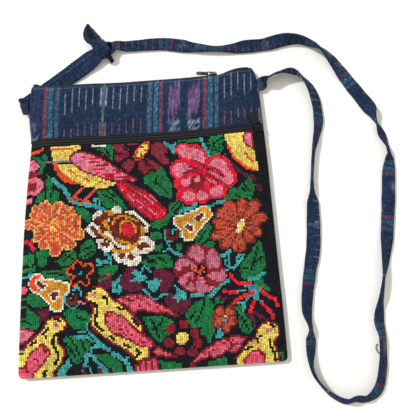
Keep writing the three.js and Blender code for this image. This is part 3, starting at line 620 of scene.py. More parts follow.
# distance from the knot, how far the stripes are ahead of it there, strength of their dye and of
# the threads
STRIPES_AHEAD = np.array([
    (60, 53.0, 0.4, 0.8),
    (105, 56.3, 0.2, 0.6),
    (165, 56.3, 0.35, 0.4),
    (250, 61.0, 0.6, 0.5),
    (600, 61.0, 0.5, 0.6),
])

# distance from the knot, half length, place across, half width and strength of each worn place
WORN_PLACES = [
    (391, 4.0, -4.6, 2.0, 0.7),
    (547, 6.0, -1.0, 3.8, 0.75),
    (571, 5.0, -5.2, 2.4, 1.0),
]

# waves of the flecks in a worn place: one along the run, one on a slant along the run and across it
FLECK_ALONG = 2.7
FLECK_SLANT = (1.3, 5.1)
FLECK_CONTRAST = 1.4

places = smooth_rows(np.c_[RIGHT_STRAP[:, :2], 0 * RIGHT_STRAP[:, 0]], STEPS_PER_ROW)
turns = smooth_rows(RIGHT_STRAP[:, 2:], STEPS_PER_ROW)
roll = np.radians(turns[:, 0])
edge_height = turns[:, 1] / 2 * np.abs(np.sin(roll)) + STRAP_THICKNESS / 2 * np.abs(np.cos(roll))
right_line = places + upright * (FLOOR_CLEARANCE + edge_height + np.maximum(0, turns[:, 2]))[:, None]
right_run = run_length(right_line)
right_side, right_face = strap_ways(places, roll)
right_across, right_out = rippled_section(right_run, turns[:, 1], STRAP_THICKNESS)
right_points = sweep(right_line, right_side, right_face, right_across, right_out)
to_seam = right_points[-1, :, 0] - np.interp(right_points[-1, :, 1], *SEAM_BY_STRAP) - SEWN_GAP
near_seam = np.clip(1 - (right_run[-1] - right_run) / SEWN_RUN, 0, 1) ** 2
right_points[..., 0] -= near_seam[:, None] * to_seam
run_column = right_run[:, None]
stripes_ahead, *right_dyes = (column[:, None] for column in columns_at(STRIPES_AHEAD, right_run))
worn = np.zeros(right_across.shape)
for run_at, run_half, across_at, across_half, strength in WORN_PLACES:
    along_spot = ((run_column - run_at) / run_half) ** 2
    worn += strength * np.exp(-along_spot - ((right_across - across_at) / across_half) ** 2)
slant = FLECK_SLANT[0] * run_column + FLECK_SLANT[1] * right_across
flecks = np.sin(FLECK_ALONG * run_column) * np.sin(slant)
worn *= np.clip(0.5 + FLECK_CONTRAST * flecks, 0, 1)
strap_right = strap_piece(
    "strap_right", right_points, run_column + stripes_ahead, right_across, right_dyes, worn=worn)
print("long strap:", round(right_run[-1]), "mm from the knot to the right seam")

# %% [markdown]
# The left strap comes out of its seam, is folded back once and runs flat under the bag's corner to
# the knot. A fold is half a turn round a thin rod, so each point of the flat band is wound round
# that rod: before it the band lies on top, and past half a turn it comes back underneath.

# %% The left strap
FOLD_MIDDLE = np.array([-119.2, 119.0, 0])
FOLD_LINE_ANGLE = np.radians(106.9)
FOLD_TOP = 8.6
LEFT_STRAP_STEPS = 240
LEFT_DYES = (0.08, 0.0)
GROOVE_AT = (0.56, 0.36)
GROOVE_WIDTH = 0.13
GROOVE_DEPTH = 0.55
# strength of the painted highlight along the fold's crease and of the painted shade in its groove
CREASE_PAINTED_HIGHLIGHT = 2.2
CREASE_PAINTED_SHADE = 0.5
CREASE_BESIDE = 0.16
CREASE_RUN = (16.0, 100.0)
CREASE_ENDS_SOFT = 10

# distance past the fold's middle, width, raise
LEFT_STRAP = np.array([
    (-4.6, 18.0, 0),
    (16.0, 18.0, 0),
    (30.0, 18.4, 0),
    (48.0, 19.0, 0),
    (66.0, 20.0, 0),
    (84.0, 21.5, 0.4),
    (90.0, 21.5, 1.2),
    (96.0, 20.0, 2.0),
    (104.0, 16.0, 3.2),
    (109.0, 11.0, 3.6),
])
fold_line = np.array([np.cos(FOLD_LINE_ANGLE), np.sin(FOLD_LINE_ANGLE), 0])
fold_outward = np.array([-fold_line[1], fold_line[0], 0])
way_from_seam = np.array([-1.0, 0, 0])
way_to_knot = 2 * (fold_line @ way_from_seam) * fold_line - way_from_seam


def wound(along, across, out, lift):
    """Points of the band after the fold: wound round a rod on the fold line, straight off it."""
    low = FLOOR_CLEARANCE + STRAP_THICKNESS / 2
    radius = (FOLD_TOP - low) / 2
    flat = along[..., None] * way_from_seam + across[..., None] * np.array([0, 1.0, 0])
    reach = flat @ fold_outward
    angle = np.clip(reach / radius, 0, np.pi)
    straight = np.where(reach < 0, reach, np.minimum(0, np.pi * radius - reach))
    beside = straight + (radius + out) * np.sin(angle)
    height = FOLD_TOP - radius + (radius + out) * np.cos(angle) + lift
    lines = FOLD_MIDDLE + (flat @ fold_line)[..., None] * fold_line
    return lines + beside[..., None] * fold_outward + height[..., None] * upright


left_run = np.linspace(LEFT_STRAP[0, 0], LEFT_STRAP[-1, 0], LEFT_STRAP_STEPS)
left_width, left_lift = columns_at(LEFT_STRAP, left_run)
left_across, left_out = rippled_section(left_run, left_width, STRAP_THICKNESS)
# The groove sinks the folded face, and its colour is painted as well: a painted highlight on the crease and
# painted shade in the groove beside it.
groove_at = np.interp(left_run, CREASE_RUN, GROOVE_AT)[:, None]
groove = bell(section_across - groove_at + CREASE_BESIDE, 0, GROOVE_WIDTH)
crease_painted_highlight = bell(section_across, groove_at, 0.5 * GROOVE_WIDTH)
creased = inside(left_run, np.mean(CREASE_RUN), np.ptp(CREASE_RUN) / 2, CREASE_ENDS_SOFT)[:, None]
left_painted_light = 1 + creased * (CREASE_PAINTED_HIGHLIGHT * crease_painted_highlight - CREASE_PAINTED_SHADE * groove)
left_out = left_out * (1 - GROOVE_DEPTH * groove)
left_along = np.broadcast_to(left_run[:, None], left_across.shape)
left_points = wound(left_along, left_across, left_out, left_lift[:, None])
strap_left = strap_piece("strap_left", left_points, left_along, left_across, LEFT_DYES, left_painted_light)
print("left strap:", round(left_run[-1] - left_run[0]), "mm from the left seam to the knot")

# %% [markdown]
# The knot is where the long strap is wrapped over the left one. A wide turn of gathered cloth goes
# round a core, and beside it the strap makes a small open ring. Each is a band with pleats along it.

# %% The knot
# centre, way and lift of the axis in degrees, half width, radius across, radius up, pleats
KNOT_TURNS = [
    (np.array([-39.4, 178.2, 6.3]), 40, 0, 6.4, 10.6, 4.7, 3),
    (np.array([-32.2, 177.9, 7.4]), -30, 62, 2.6, 6.3, 5.2, 1),
]
KNOT_TURN_STEPS = 72
KNOT_TURN_THICKNESS = 2.2
KNOT_PLEAT = 0.5
KNOT_PLEAT_SWAY = 1.4
KNOT_WAIST = 0.16
KNOT_STRIPES_FROM = 33.0
KNOT_DYES = (0.15, 0.6)
CORE_CENTRE = np.array([-34.6, 178.4, 4.4])
CORE_RADII = np.array([9.6, 6.4, 3.0])
# how dark the core is painted, as painted shade deep inside the knot
CORE_PAINTED_SHADE = 0.3
CORE_STEPS = 20
BALL_END = 0.05


def knot_turn(centre, way, lift, half_width, radius_across, radius_up, pleats):
    """A band round an oval: its section is a flat oval, pleated across, carried round the axis."""
    turn = np.linspace(0, 2 * np.pi, KNOT_TURN_STEPS, endpoint=False)[:, None]
    way, lift = np.radians(way), np.radians(lift)
    axis = np.array([np.cos(way) * np.cos(lift), np.sin(way) * np.cos(lift), np.sin(lift)])
    level = np.array([-np.sin(way), np.cos(way), 0])
    rise = np.cross(axis, level)
    sway = KNOT_PLEAT_SWAY * np.sin(turn)
    pleat = np.cos(np.pi * pleats * section_across + sway) * (section_out > 0)
    out = KNOT_TURN_THICKNESS / 2 * section_out + KNOT_PLEAT * (pleat - 1)
    wide = half_width * (1 - KNOT_WAIST * np.cos(2 * turn)) * section_across
    ring = ((radius_across + out) * np.cos(turn))[..., None] * level
    ring = ring + ((radius_up + out) * np.sin(turn))[..., None] * rise
    return centre + ring + wide[..., None] * axis


def ball(centre, radii, steps):
    """A closed ball: rings of points between two small end rings, stretched to three radii."""
    polar = np.linspace(BALL_END, np.pi - BALL_END, steps)[:, None]
    turn = np.linspace(0, 2 * np.pi, 2 * steps, endpoint=False)
    ways = [np.sin(polar) * np.cos(turn), np.sin(polar) * np.sin(turn), np.cos(polar) + 0 * turn]
    return centre + np.stack(ways, axis=-1) * radii


knot_rings = [knot_turn(*row) for row in KNOT_TURNS]
core = ball(CORE_CENTRE, CORE_RADII, CORE_STEPS)
around = KNOT_TURN_STEPS * SECTION_POINTS
turn_faces = grid_faces(KNOT_TURN_STEPS + 1, SECTION_POINTS, wrap=True) % around
core_faces = [faces + 2 * around for faces in tube_faces(*core.shape[:2])]
knot_points = np.concatenate([shape.reshape(-1, 3) for shape in (*knot_rings, core)])
knot_faces = [turn_faces, turn_faces + around, *core_faces]
strap_knot = new_piece("soft_knot", knot_points, knot_faces, strap_look, "strap_knot")
knot_stripes = knot_points @ way_to_knot + KNOT_STRIPES_FROM
knot_colours = dyed_cloth(knot_stripes, knot_points @ fold_line + STRAP_CUT, *KNOT_DYES)
# painted shade: the core deep inside the knot is painted darker
knot_colours[2 * around:] *= CORE_PAINTED_SHADE
paint(strap_knot, knot_colours)

# %% [markdown]
# The long end is the open mouth of the strap's tube, so its section is hollowed along the middle, and
# the hollow is painted dark, as painted shade. The short end is only a flat tongue.

# %% The loose ends
TAIL_STEPS = 24
TAIL_THICKNESS = 3.4
MOUTH_DEPTH = 1.15
MOUTH_AT = 0.02
MOUTH_WIDTH = 0.45
# how far the mouth is painted darker, as painted shade inside the hollow
MOUTH_PAINTED_SHADE = 0.85
TAIL_DYES = (0.3, 0.2)
SHORT_TAIL_SHADE = 0.6
LONG_TAIL_STRIPES_FROM = 30.0
SHORT_TAIL_STRIPES_FROM = 68.0

# x, y, z, roll in degrees, width, depth of the mouth as a share
LONG_TAIL = np.array([
    (-44.0, 183.5, 8.4, 8, 12.0, 0.0),
    (-46.4, 187.5, 8.2, 12, 15.0, 0.5),
    (-49.6, 191.5, 7.2, 16, 16.5, 1.0),
    (-51.6, 196.4, 6.2, 18, 14.5, 1.0),
    (-53.0, 202.2, 5.0, 16, 9.6, 0.6),
    (-53.6, 208.2, 4.2, 14, 3.0, 0.0),
])
SHORT_TAIL = np.array([
    (-33.4, 172.8, 9.1, 0, 5.0, 0.0),
    (-32.4, 170.4, 8.8, 0, 5.0, 0.0),
    (-30.8, 167.4, 6.4, 6, 5.0, 0.0),
    (-28.8, 164.2, 3.4, 10, 4.8, 0.0),
])


def tail(node, rows, stripes_from, shade):
    """A loose end: the strap's section along its rows, its upper face sunk to a mouth in the middle, with
    painted shade in the mouth.
    """
    line = smooth_rows(rows[:, :3], TAIL_STEPS)
    sizes = smooth_rows(rows[:, 3:], TAIL_STEPS)
    side, face = strap_ways(line * np.array([1, 1, 0]), np.radians(sizes[:, 0]))
    across, out = rippled_section(run_length(line), sizes[:, 1], TAIL_THICKNESS)
    hollow = bell(section_across, MOUTH_AT, MOUTH_WIDTH) * np.clip(section_out * 2, 0, 1)
    mouth = hollow * np.clip(sizes[:, 2:], 0, 1)
    points = sweep(line, side, face, across, out * (1 - MOUTH_DEPTH * mouth))
    stripes = run_length(line)[:, None] + stripes_from
    return strap_piece(node, points, stripes, across, TAIL_DYES, shade * (1 - MOUTH_PAINTED_SHADE * mouth))


strap_tail_long = tail("strap_tail_long", LONG_TAIL, LONG_TAIL_STRIPES_FROM, 1.0)
strap_tail_short = tail("strap_tail_short", SHORT_TAIL, SHORT_TAIL_STRIPES_FROM, SHORT_TAIL_SHADE)

# %% A loose thread at the lower right of the long strap
THREAD_RADIUS = 0.38
THREAD_SHADE = linear("14171D")
THREAD_STEPS = 8
THREAD_SIDES = 8

# x, y, z
THREAD_PLACES = np.array([
    (215.4, -149.6, 6.4),
    (212.4, -146.9, 4.6),
    (211.2, -143.6, 2.6),
    (211.8, -140.4, 1.6),
    (213.6, -138.9, 1.4),
])
thread_line = smooth_rows(THREAD_PLACES, THREAD_STEPS)
thread_ways = strap_ways(thread_line, np.zeros(len(thread_line)))
thread_turn = np.linspace(0, 2 * np.pi, THREAD_SIDES, endpoint=False) + np.zeros((len(thread_line), 1))
thread_round = (THREAD_RADIUS * np.cos(thread_turn), THREAD_RADIUS * np.sin(thread_turn))
thread_points = sweep(thread_line, *thread_ways, *thread_round).reshape(-1, 3)
thread_faces = tube_faces(len(thread_line), THREAD_SIDES)
thread = new_piece("soft_strap_thread", thread_points, thread_faces, strap_look)
paint(thread, np.tile(THREAD_SHADE, (len(thread_points), 1)))

# %% [markdown]
# ## The shape of the bag
#
# The bag is two cloth walls sewn round their edge. Its outline is read from tables along the side
# seams and the top edge, and a smooth curve runs through each table. A point of a wall is found by
# two numbers: its share of the way across, and its share of the way up.

# %% Tables of the outline
SEAM_HEIGHT = 4.2
SEAM_GAP = 0.3
WALL = 1.8
BOTTOM = -148.8
CORNER_RADIUS = 5.0
ZIP_Y = 77.5
SLOT_HALF = 3.9

# y, left seam, right seam
SIDE_SEAMS = np.array([
    (-148.8, -126.2, 126.6),
    (-100.0, -124.8, 126.3),
    (-50.0, -122.7, 125.4),
    (0.0, -120.1, 124.6),
    (45.0, -116.5, 123.9),
    (77.0, -113.4, 123.0),
    (105.0, -113.9, 122.0),
    (130.0, -112.6, 120.2),
    (142.0, -111.0, 118.2),
    (148.8, -110.6, 115.4),
])
# share of the way across, y
TOP_EDGE = np.array([
    (0.0, 138.4),
    (0.06, 136.2),
    (0.13, 135.4),
    (0.23, 136.3),
    (0.34, 136.8),
    (0.5, 137.4),
    (0.7, 138.2),
    (0.81, 139.6),
    (0.87, 141.8),
    (0.94, 145.8),
    (1.0, 148.2),
])
# x, how far the front rises at the opening, how far the back turns up
TOP_OPENING = np.array([
    (-111.0, 0.0, 1.0),
    (-104.0, 3.0, 1.0),
    (-90.0, 3.1, 1.0),
    (60.0, 3.0, 1.0),
    (80.0, 3.4, 0.9),
    (97.0, 6.4, 0.2),
    (107.0, 3.6, 0.7),
    (115.4, 0.0, 1.0),
])
# x, y of the pocket zip's middle line
ZIP_LINE = np.array([
    (-117.0, 77.0),
    (-104.0, 78.7),
    (-85.0, 78.2),
    (-60.0, 77.4),
    (-20.0, 76.7),
    (20.0, 76.7),
    (60.0, 77.7),
    (80.0, 78.8),
    (100.0, 80.0),
    (124.0, 81.2),
])


# %% Curves through the tables
def curve(table, column, at):
    """A cubic through one column of a table: its slope at a row is the mean of the slopes before and
    after that row, and it is level at either end."""
    keys, values = table[:, 0], table[:, column]
    keys = np.r_[2 * keys[0] - keys[1], keys, 2 * keys[-1] - keys[-2]]
    values = np.r_[values[1], values, values[-2]]
    at = np.clip(at, keys[1], keys[-2])
    after = np.clip(np.searchsorted(keys, at, side="right"), 2, len(keys) - 2)
    span = keys[after] - keys[after - 1]
    p = (at - keys[after - 1]) / span
    steps = np.diff(values) / np.diff(keys)
    slope = (steps[1:] + steps[:-1]) / 2
    start, end = values[after - 1], values[after]
    rise = start * (1 - 3 * p ** 2 + 2 * p ** 3) + end * (3 * p ** 2 - 2 * p ** 3)
    bend = slope[after - 2] * (p - 2 * p ** 2 + p ** 3) + slope[after - 1] * (p ** 3 - p ** 2)
    return rise + bend * span


def side_edges(y):
    """The left and right edge at a height up the bag, drawn in by the round bottom corners."""
    short = np.clip(CORNER_RADIUS - (y - BOTTOM), 0, CORNER_RADIUS)
    inset = CORNER_RADIUS - np.sqrt(CORNER_RADIUS ** 2 - short ** 2)
    return curve(SIDE_SEAMS, 1, y) + inset, curve(SIDE_SEAMS, 2, y) - inset


def x_at(share, y):
    left, right = side_edges(y)
    return left + (right - left) * share


def share_at(x, y):
    left, right = side_edges(y)
    return (x - left) / (right - left)


def zip_line(x):
    return curve(ZIP_LINE, 1, x)


def top_edge(x):
    return curve(TOP_EDGE, 1, share_at(x, SIDE_SEAMS[-2, 0]))


# %% [markdown]
# The front is a shallow pillow: its height climbs from the seam over a rounded shoulder. Long soft
# dents lie across it where the cloth was creased, and the strap under the top left corner lifts it.

# %% Heights of the two walls
PUFF = 7.2
SHOULDER_RUN = 34.0
SHOULDER_POWER = 2.2
TURN_UP_RUN = 18.0
CORNER_LIFT = 4.3
LIFT_FROM = 11.0
LIFT_TO = 44.0
ZIP_DIP = 1.1
ZIP_DIP_SPREAD = 11.0

# start x and y, end x and y, spread, depth
DENTS = [
    (119, 128, 62, 110, 9, 1.0),
    (-112, 120, -58, 104, 10, 1.0),
    (-112, 62, -34, 26, 22, 0.9),
    (120, 24, 44, -58, 26, 0.9),
    (-64, -122, 72, -96, 24, 0.8),
]
DENT_STARTS_OVER = (-0.2, 0.25)
DENT_ENDS_OVER = (0.6, 1.2)


def smooth_step(value, low, high):
    share = np.clip((value - low) / (high - low), 0, 1)
    return share * share * (3 - 2 * share)


def shoulder(inwards):
    return 1 - (1 - np.clip(inwards / SHOULDER_RUN, 0, 1)) ** SHOULDER_POWER


def turn_up(inwards):
    return np.clip(1 - inwards / TURN_UP_RUN, 0, 1) ** 2


def strap_lift(x, y):
    """How far the strap under the corner lifts the bag: most over its line, nothing far from it."""
    off = np.abs((x - FOLD_MIDDLE[0]) * way_to_knot[1] - (y - FOLD_MIDDLE[1]) * way_to_knot[0])
    return CORNER_LIFT * (1 - smooth_step(off, LIFT_FROM, LIFT_TO))


def dent_depth(x, y):
    """Depth of all dents: a bell across each one's line, fading out along it at both ends."""
    depth = ZIP_DIP * bell(y, zip_line(x), ZIP_DIP_SPREAD)
    for from_x, from_y, to_x, to_y, spread, deep in DENTS:
        run_x, run_y = to_x - from_x, to_y - from_y
        length = np.hypot(run_x, run_y)
        along = ((x - from_x) * run_x + (y - from_y) * run_y) / length ** 2
        off = ((x - from_x) * run_y - (y - from_y) * run_x) / length
        ends = smooth_step(along, *DENT_STARTS_OVER) * (1 - smooth_step(along, *DENT_ENDS_OVER))
        depth = depth + deep * ends * bell(off, 0, spread)
    return depth


def front_height(x, y):
    """Height of the front's outer face."""
    left, right = side_edges(y)
    around = shoulder(x - left) * shoulder(right - x) * shoulder(y - BOTTOM)
    top = shoulder(curve(TOP_EDGE, 1, (x - left) / (right - left)) - y)
    pillow = (PUFF - dent_depth(x, y)) * around * top
    opening = curve(TOP_OPENING, 1, x) * (1 - top)
    return SEAM_HEIGHT + SEAM_GAP / 2 + WALL + strap_lift(x, y) + pillow + opening


def back_height(x, y):
    """Height of the back's outer face: flat on the floor, turned up to the seam all round."""
    left, right = side_edges(y)
    around = (1 - turn_up(x - left)) * (1 - turn_up(right - x)) * (1 - turn_up(y - BOTTOM))
    top = 1 - turn_up(curve(TOP_EDGE, 1, (x - left) / (right - left)) - y) * curve(TOP_OPENING, 2, x)
    return (SEAM_HEIGHT - SEAM_GAP / 2 - WALL) * (1 - around * top) + strap_lift(x, y)


# %% [markdown]
# Cloth is never as even as that. Near a seam the thread draws it into small puckers, and elsewhere it
# lies in low waves. Both only sink below the smooth face, so the zips keep their room. The rims are
# rounded, as folded edges are.

# %% Walls of cloth
RIM_RADIUS = 1.5
RIM_STATIONS = np.array([0.0, 0.2, 0.6, RIM_RADIUS])
BAND_SHORT = 1.7
BAND_SHORT_OVER = (0.84, 0.94)
RIM_DROP = 0.7
PUCKER = 0.5
PUCKER_PITCH = 6.5
PUCKER_REACH = 6
PUCKER_STARTS_OVER = 1.5
WAVE = 0.3


def cloth_sink(x, y, inwards):
    """How far soft cloth lies below its smooth face, by place and by distance from the seam. The waves
    have unlike lengths, so that they don't repeat across the bag."""
    pitch = 2 * np.pi / PUCKER_PITCH
    drawn = np.sin(pitch * (x + 0.7 * y) + 1.7 * np.sin(y / 9)) * np.sin(pitch * (0.6 * x - y) / 1.3)
    fade = np.exp(-inwards / PUCKER_REACH)
    pucker = PUCKER * (0.5 + 0.5 * drawn) * fade * np.clip(inwards / PUCKER_STARTS_OVER, 0, 1)
    wave = np.sin(x / 13 + np.sin(y / 17)) + np.sin(y / 11 - np.sin(x / 19)) + np.sin((x + y) / 7)
    return pucker + WAVE * (0.5 + wave / 6)


def rim_drop(inwards):
    """How far a rounded rim falls away, as a quarter of an oval over the rim's radius."""
    share = 1 - np.clip(inwards / RIM_RADIUS, 0, 1)
    return RIM_DROP * (1 - np.sqrt(1 - share ** 2))


def stations(length, pitch):
    """Shares from 0 to 1 along a length: close ones within the rim at both ends, even ones between."""
    rim = RIM_STATIONS / length
    count = int(round((length - 2 * RIM_RADIUS) / pitch))
    return np.r_[rim[:-1], np.linspace(rim[-1], 1 - rim[-1], count + 1), 1 - rim[-2::-1]]


def border(rows, columns):
    """Indices of a grid's border points, once round from the lower left corner."""
    index = np.arange(rows * columns).reshape(rows, columns)
    return np.r_[index[0, :-1], index[:-1, -1], index[-1, :0:-1], index[:0:-1, 0]]


def wall_faces(rows, columns):
    """Faces of a closed slab: the upper grid, the lower one turned over, and the strip between them."""
    count = rows * columns
    low = border(rows, columns) + count
    after = np.roll(low, -1)
    strip = np.stack([low, after, after - count, low - count], axis=-1)
    return [grid_faces(rows, columns), grid_faces(rows, columns, count)[:, ::-1], strip]


def wall_grid(shares, ups, low_row, high_row):
    """Places of a wall's grid and the distance of each from the wall's rim."""
    share, up = np.meshgrid(shares, ups)
    low, high = low_row(share), high_row(share)
    y = low + (high - low) * up
    x = x_at(share, y)
    left, right = side_edges(y)
    return x, y, np.minimum(np.minimum(x - left, right - x), np.minimum(y - low, high - y))


def bottom_row(share):
    return np.full(share.shape, BOTTOM)


def below_zip(share):
    return zip_line(x_at(share, ZIP_Y)) - SLOT_HALF


def above_zip(share):
    return zip_line(x_at(share, ZIP_Y)) + SLOT_HALF


def top_row(share):
    return curve(TOP_EDGE, 1, share)


def band_top_row(share):
    """The band's upper edge: near the right corner it stops short of the opening and shows the tape."""
    return top_row(share) - BAND_SHORT * smooth_step(share, *BAND_SHORT_OVER)


def front_wall(size, pitches, low_row, high_row):
    """Places of a wall of the front, and the heights of its soft outer face and of its inner one."""
    x, y, inwards = wall_grid(*map(stations, size, pitches), low_row, high_row)
    smooth = front_height(x, y)
    drop = rim_drop(inwards)
    return x, y, smooth - cloth_sink(x, y, inwards) - drop, smooth - WALL + drop / 2


def slab_piece(node, x, y, high, low, look):
    """A closed slab from grids of places and of the heights of its two faces."""
    points = np.concatenate([grid_points(x, y, high), grid_points(x, y, low)])
    return new_piece("soft_" + node, points, wall_faces(*x.shape), look, node)


# %% The striped band
BAND_SIZE = (235.0, 57.0)
WEAVE_PITCHES = (0.55, 0.8)
STRIPE_LEAN = 0.066
STRIPE_LEVEL = 107.0
BAND_STRIPES_FROM = 96.3
END_FADE = 0.95
END_FADES_OVER = (-101.0, -99.0)
END_FADE_ABOVE = (92.0, 102.0)
TOP_STITCH_BELOW = 2.3
TOP_STITCH_PITCH = 3.0
TOP_STITCH_HALF = 1.0
TOP_STITCH_THICK = 0.35
TOP_STITCH_SOFT = 0.4
TOP_STITCH_COVER = 0.24


def striped_at(x, y):
    """The cloth's colour on the bag: stripes that lean a little and fade near the top of the left end."""
    faded = 1 - END_FADE * (1 - smooth_step(x, *END_FADES_OVER)) * smooth_step(y, *END_FADE_ABOVE)
    return dyed_cloth(x + STRIPE_LEAN * (STRIPE_LEVEL - y) + BAND_STRIPES_FROM, y, faded)


band_x, band_y, band_high, band_low = front_wall(BAND_SIZE, WEAVE_PITCHES, above_zip, band_top_row)
front_band = slab_piece("front_band", band_x, band_y, band_high, band_low, striped_look)
below_edge = (band_y[-1] - band_y).ravel()
in_stitch = band_x.ravel() % TOP_STITCH_PITCH
stitch_on = inside(below_edge, TOP_STITCH_BELOW, TOP_STITCH_THICK, TOP_STITCH_SOFT)
stitch_on = stitch_on * inside(in_stitch, TOP_STITCH_PITCH / 2, TOP_STITCH_HALF, TOP_STITCH_SOFT)
band_colours = striped_at(band_x.ravel(), band_y.ravel())
band_colours = lay_over(band_colours, DYES["white"], TOP_STITCH_COVER * stitch_on)
paint(front_band, np.tile(band_colours, (2, 1)))

# %% The back
BACK_SIZE = (245.0, 288.0)
BACK_PITCHES = (1.3, 1.3)
BACK_LEAVES_FLOOR_OVER = (0.05, 1.5)

back_x, back_y, back_inwards = wall_grid(*map(stations, BACK_SIZE, BACK_PITCHES), bottom_row, top_row)
back_flat = back_height(back_x, back_y)
back_rise = cloth_sink(back_x, back_y, back_inwards) * smooth_step(back_flat, *BACK_LEAVES_FLOOR_OVER)
back_drop = rim_drop(back_inwards)
back_high = back_flat + WALL - back_drop / 2
back_low = back_flat + back_rise + back_drop
back_panel = slab_piece("back_panel", back_x, back_y, back_high, back_low, striped_look)
paint(back_panel, np.tile(striped_at(-back_x.ravel(), back_y.ravel()), (2, 1)))

# %% [markdown]
# ## The embroidered picture
#
# Flowers, leaves and birds of this kind are a common folk pattern, stitched by counting threads. The
# picture is drawn here as a stitcher would chart it: filled areas and lines of one thread, laid over
# each other from the back to the front. All places are millimetres on the bag.

# %% Threads
THREADS = screen_colours(
    ground="11131A", green="1E7A44", red="E0263F", pink="EA7F97", rose="EC5F78", dusty="CC7086",
    dark_red="8C2330", burgundy="8E3249", maroon="66223A", coral="D9563F", apricot="F0A85C",
    rust="C8533E", dark_rust="7A3226", brown="6E2A22", gold="D9952B", white="EFE9DC",
    yellow="F2DA68", turquoise="45A8A8", orange="F0552B", chili="EE2A3A", lilac="8A7F93",
    orchid="C86FA6",
)

# two threads mixed stitch by stitch, and the share of the second
MIXED_THREADS = {
    "coral_flecked": ("coral", "apricot", 0.3),
    "green_dotted": ("green", "ground", 0.25),
    "pink_flecked": ("pink", "rose", 0.25),
    "rust_flecked": ("rust", "dark_rust", 0.1),
    "yellow_dotted": ("yellow", "dark_red", 0.4),
    "orange_checked": ("orange", "ground", 0.5),
    "cream": ("yellow", "white", 0.5),
    "tail_red": ("red", "pink", 0.1),
    "rose_flecked": ("rose", "dark_red", 0.07),
}

# %% [markdown]
# Each row of these tables holds a thread, the thread of its outline, a width and some shapes. A
# width of 0 fills the shape, any other width draws it as a line, and a single point makes a dot.
# Shapes are parted by semicolons. A star is a line from one centre to each of its tips.

# %% Stars
def star(centre, tips):
    return ";".join(centre + " " + tip for tip in tips.split())


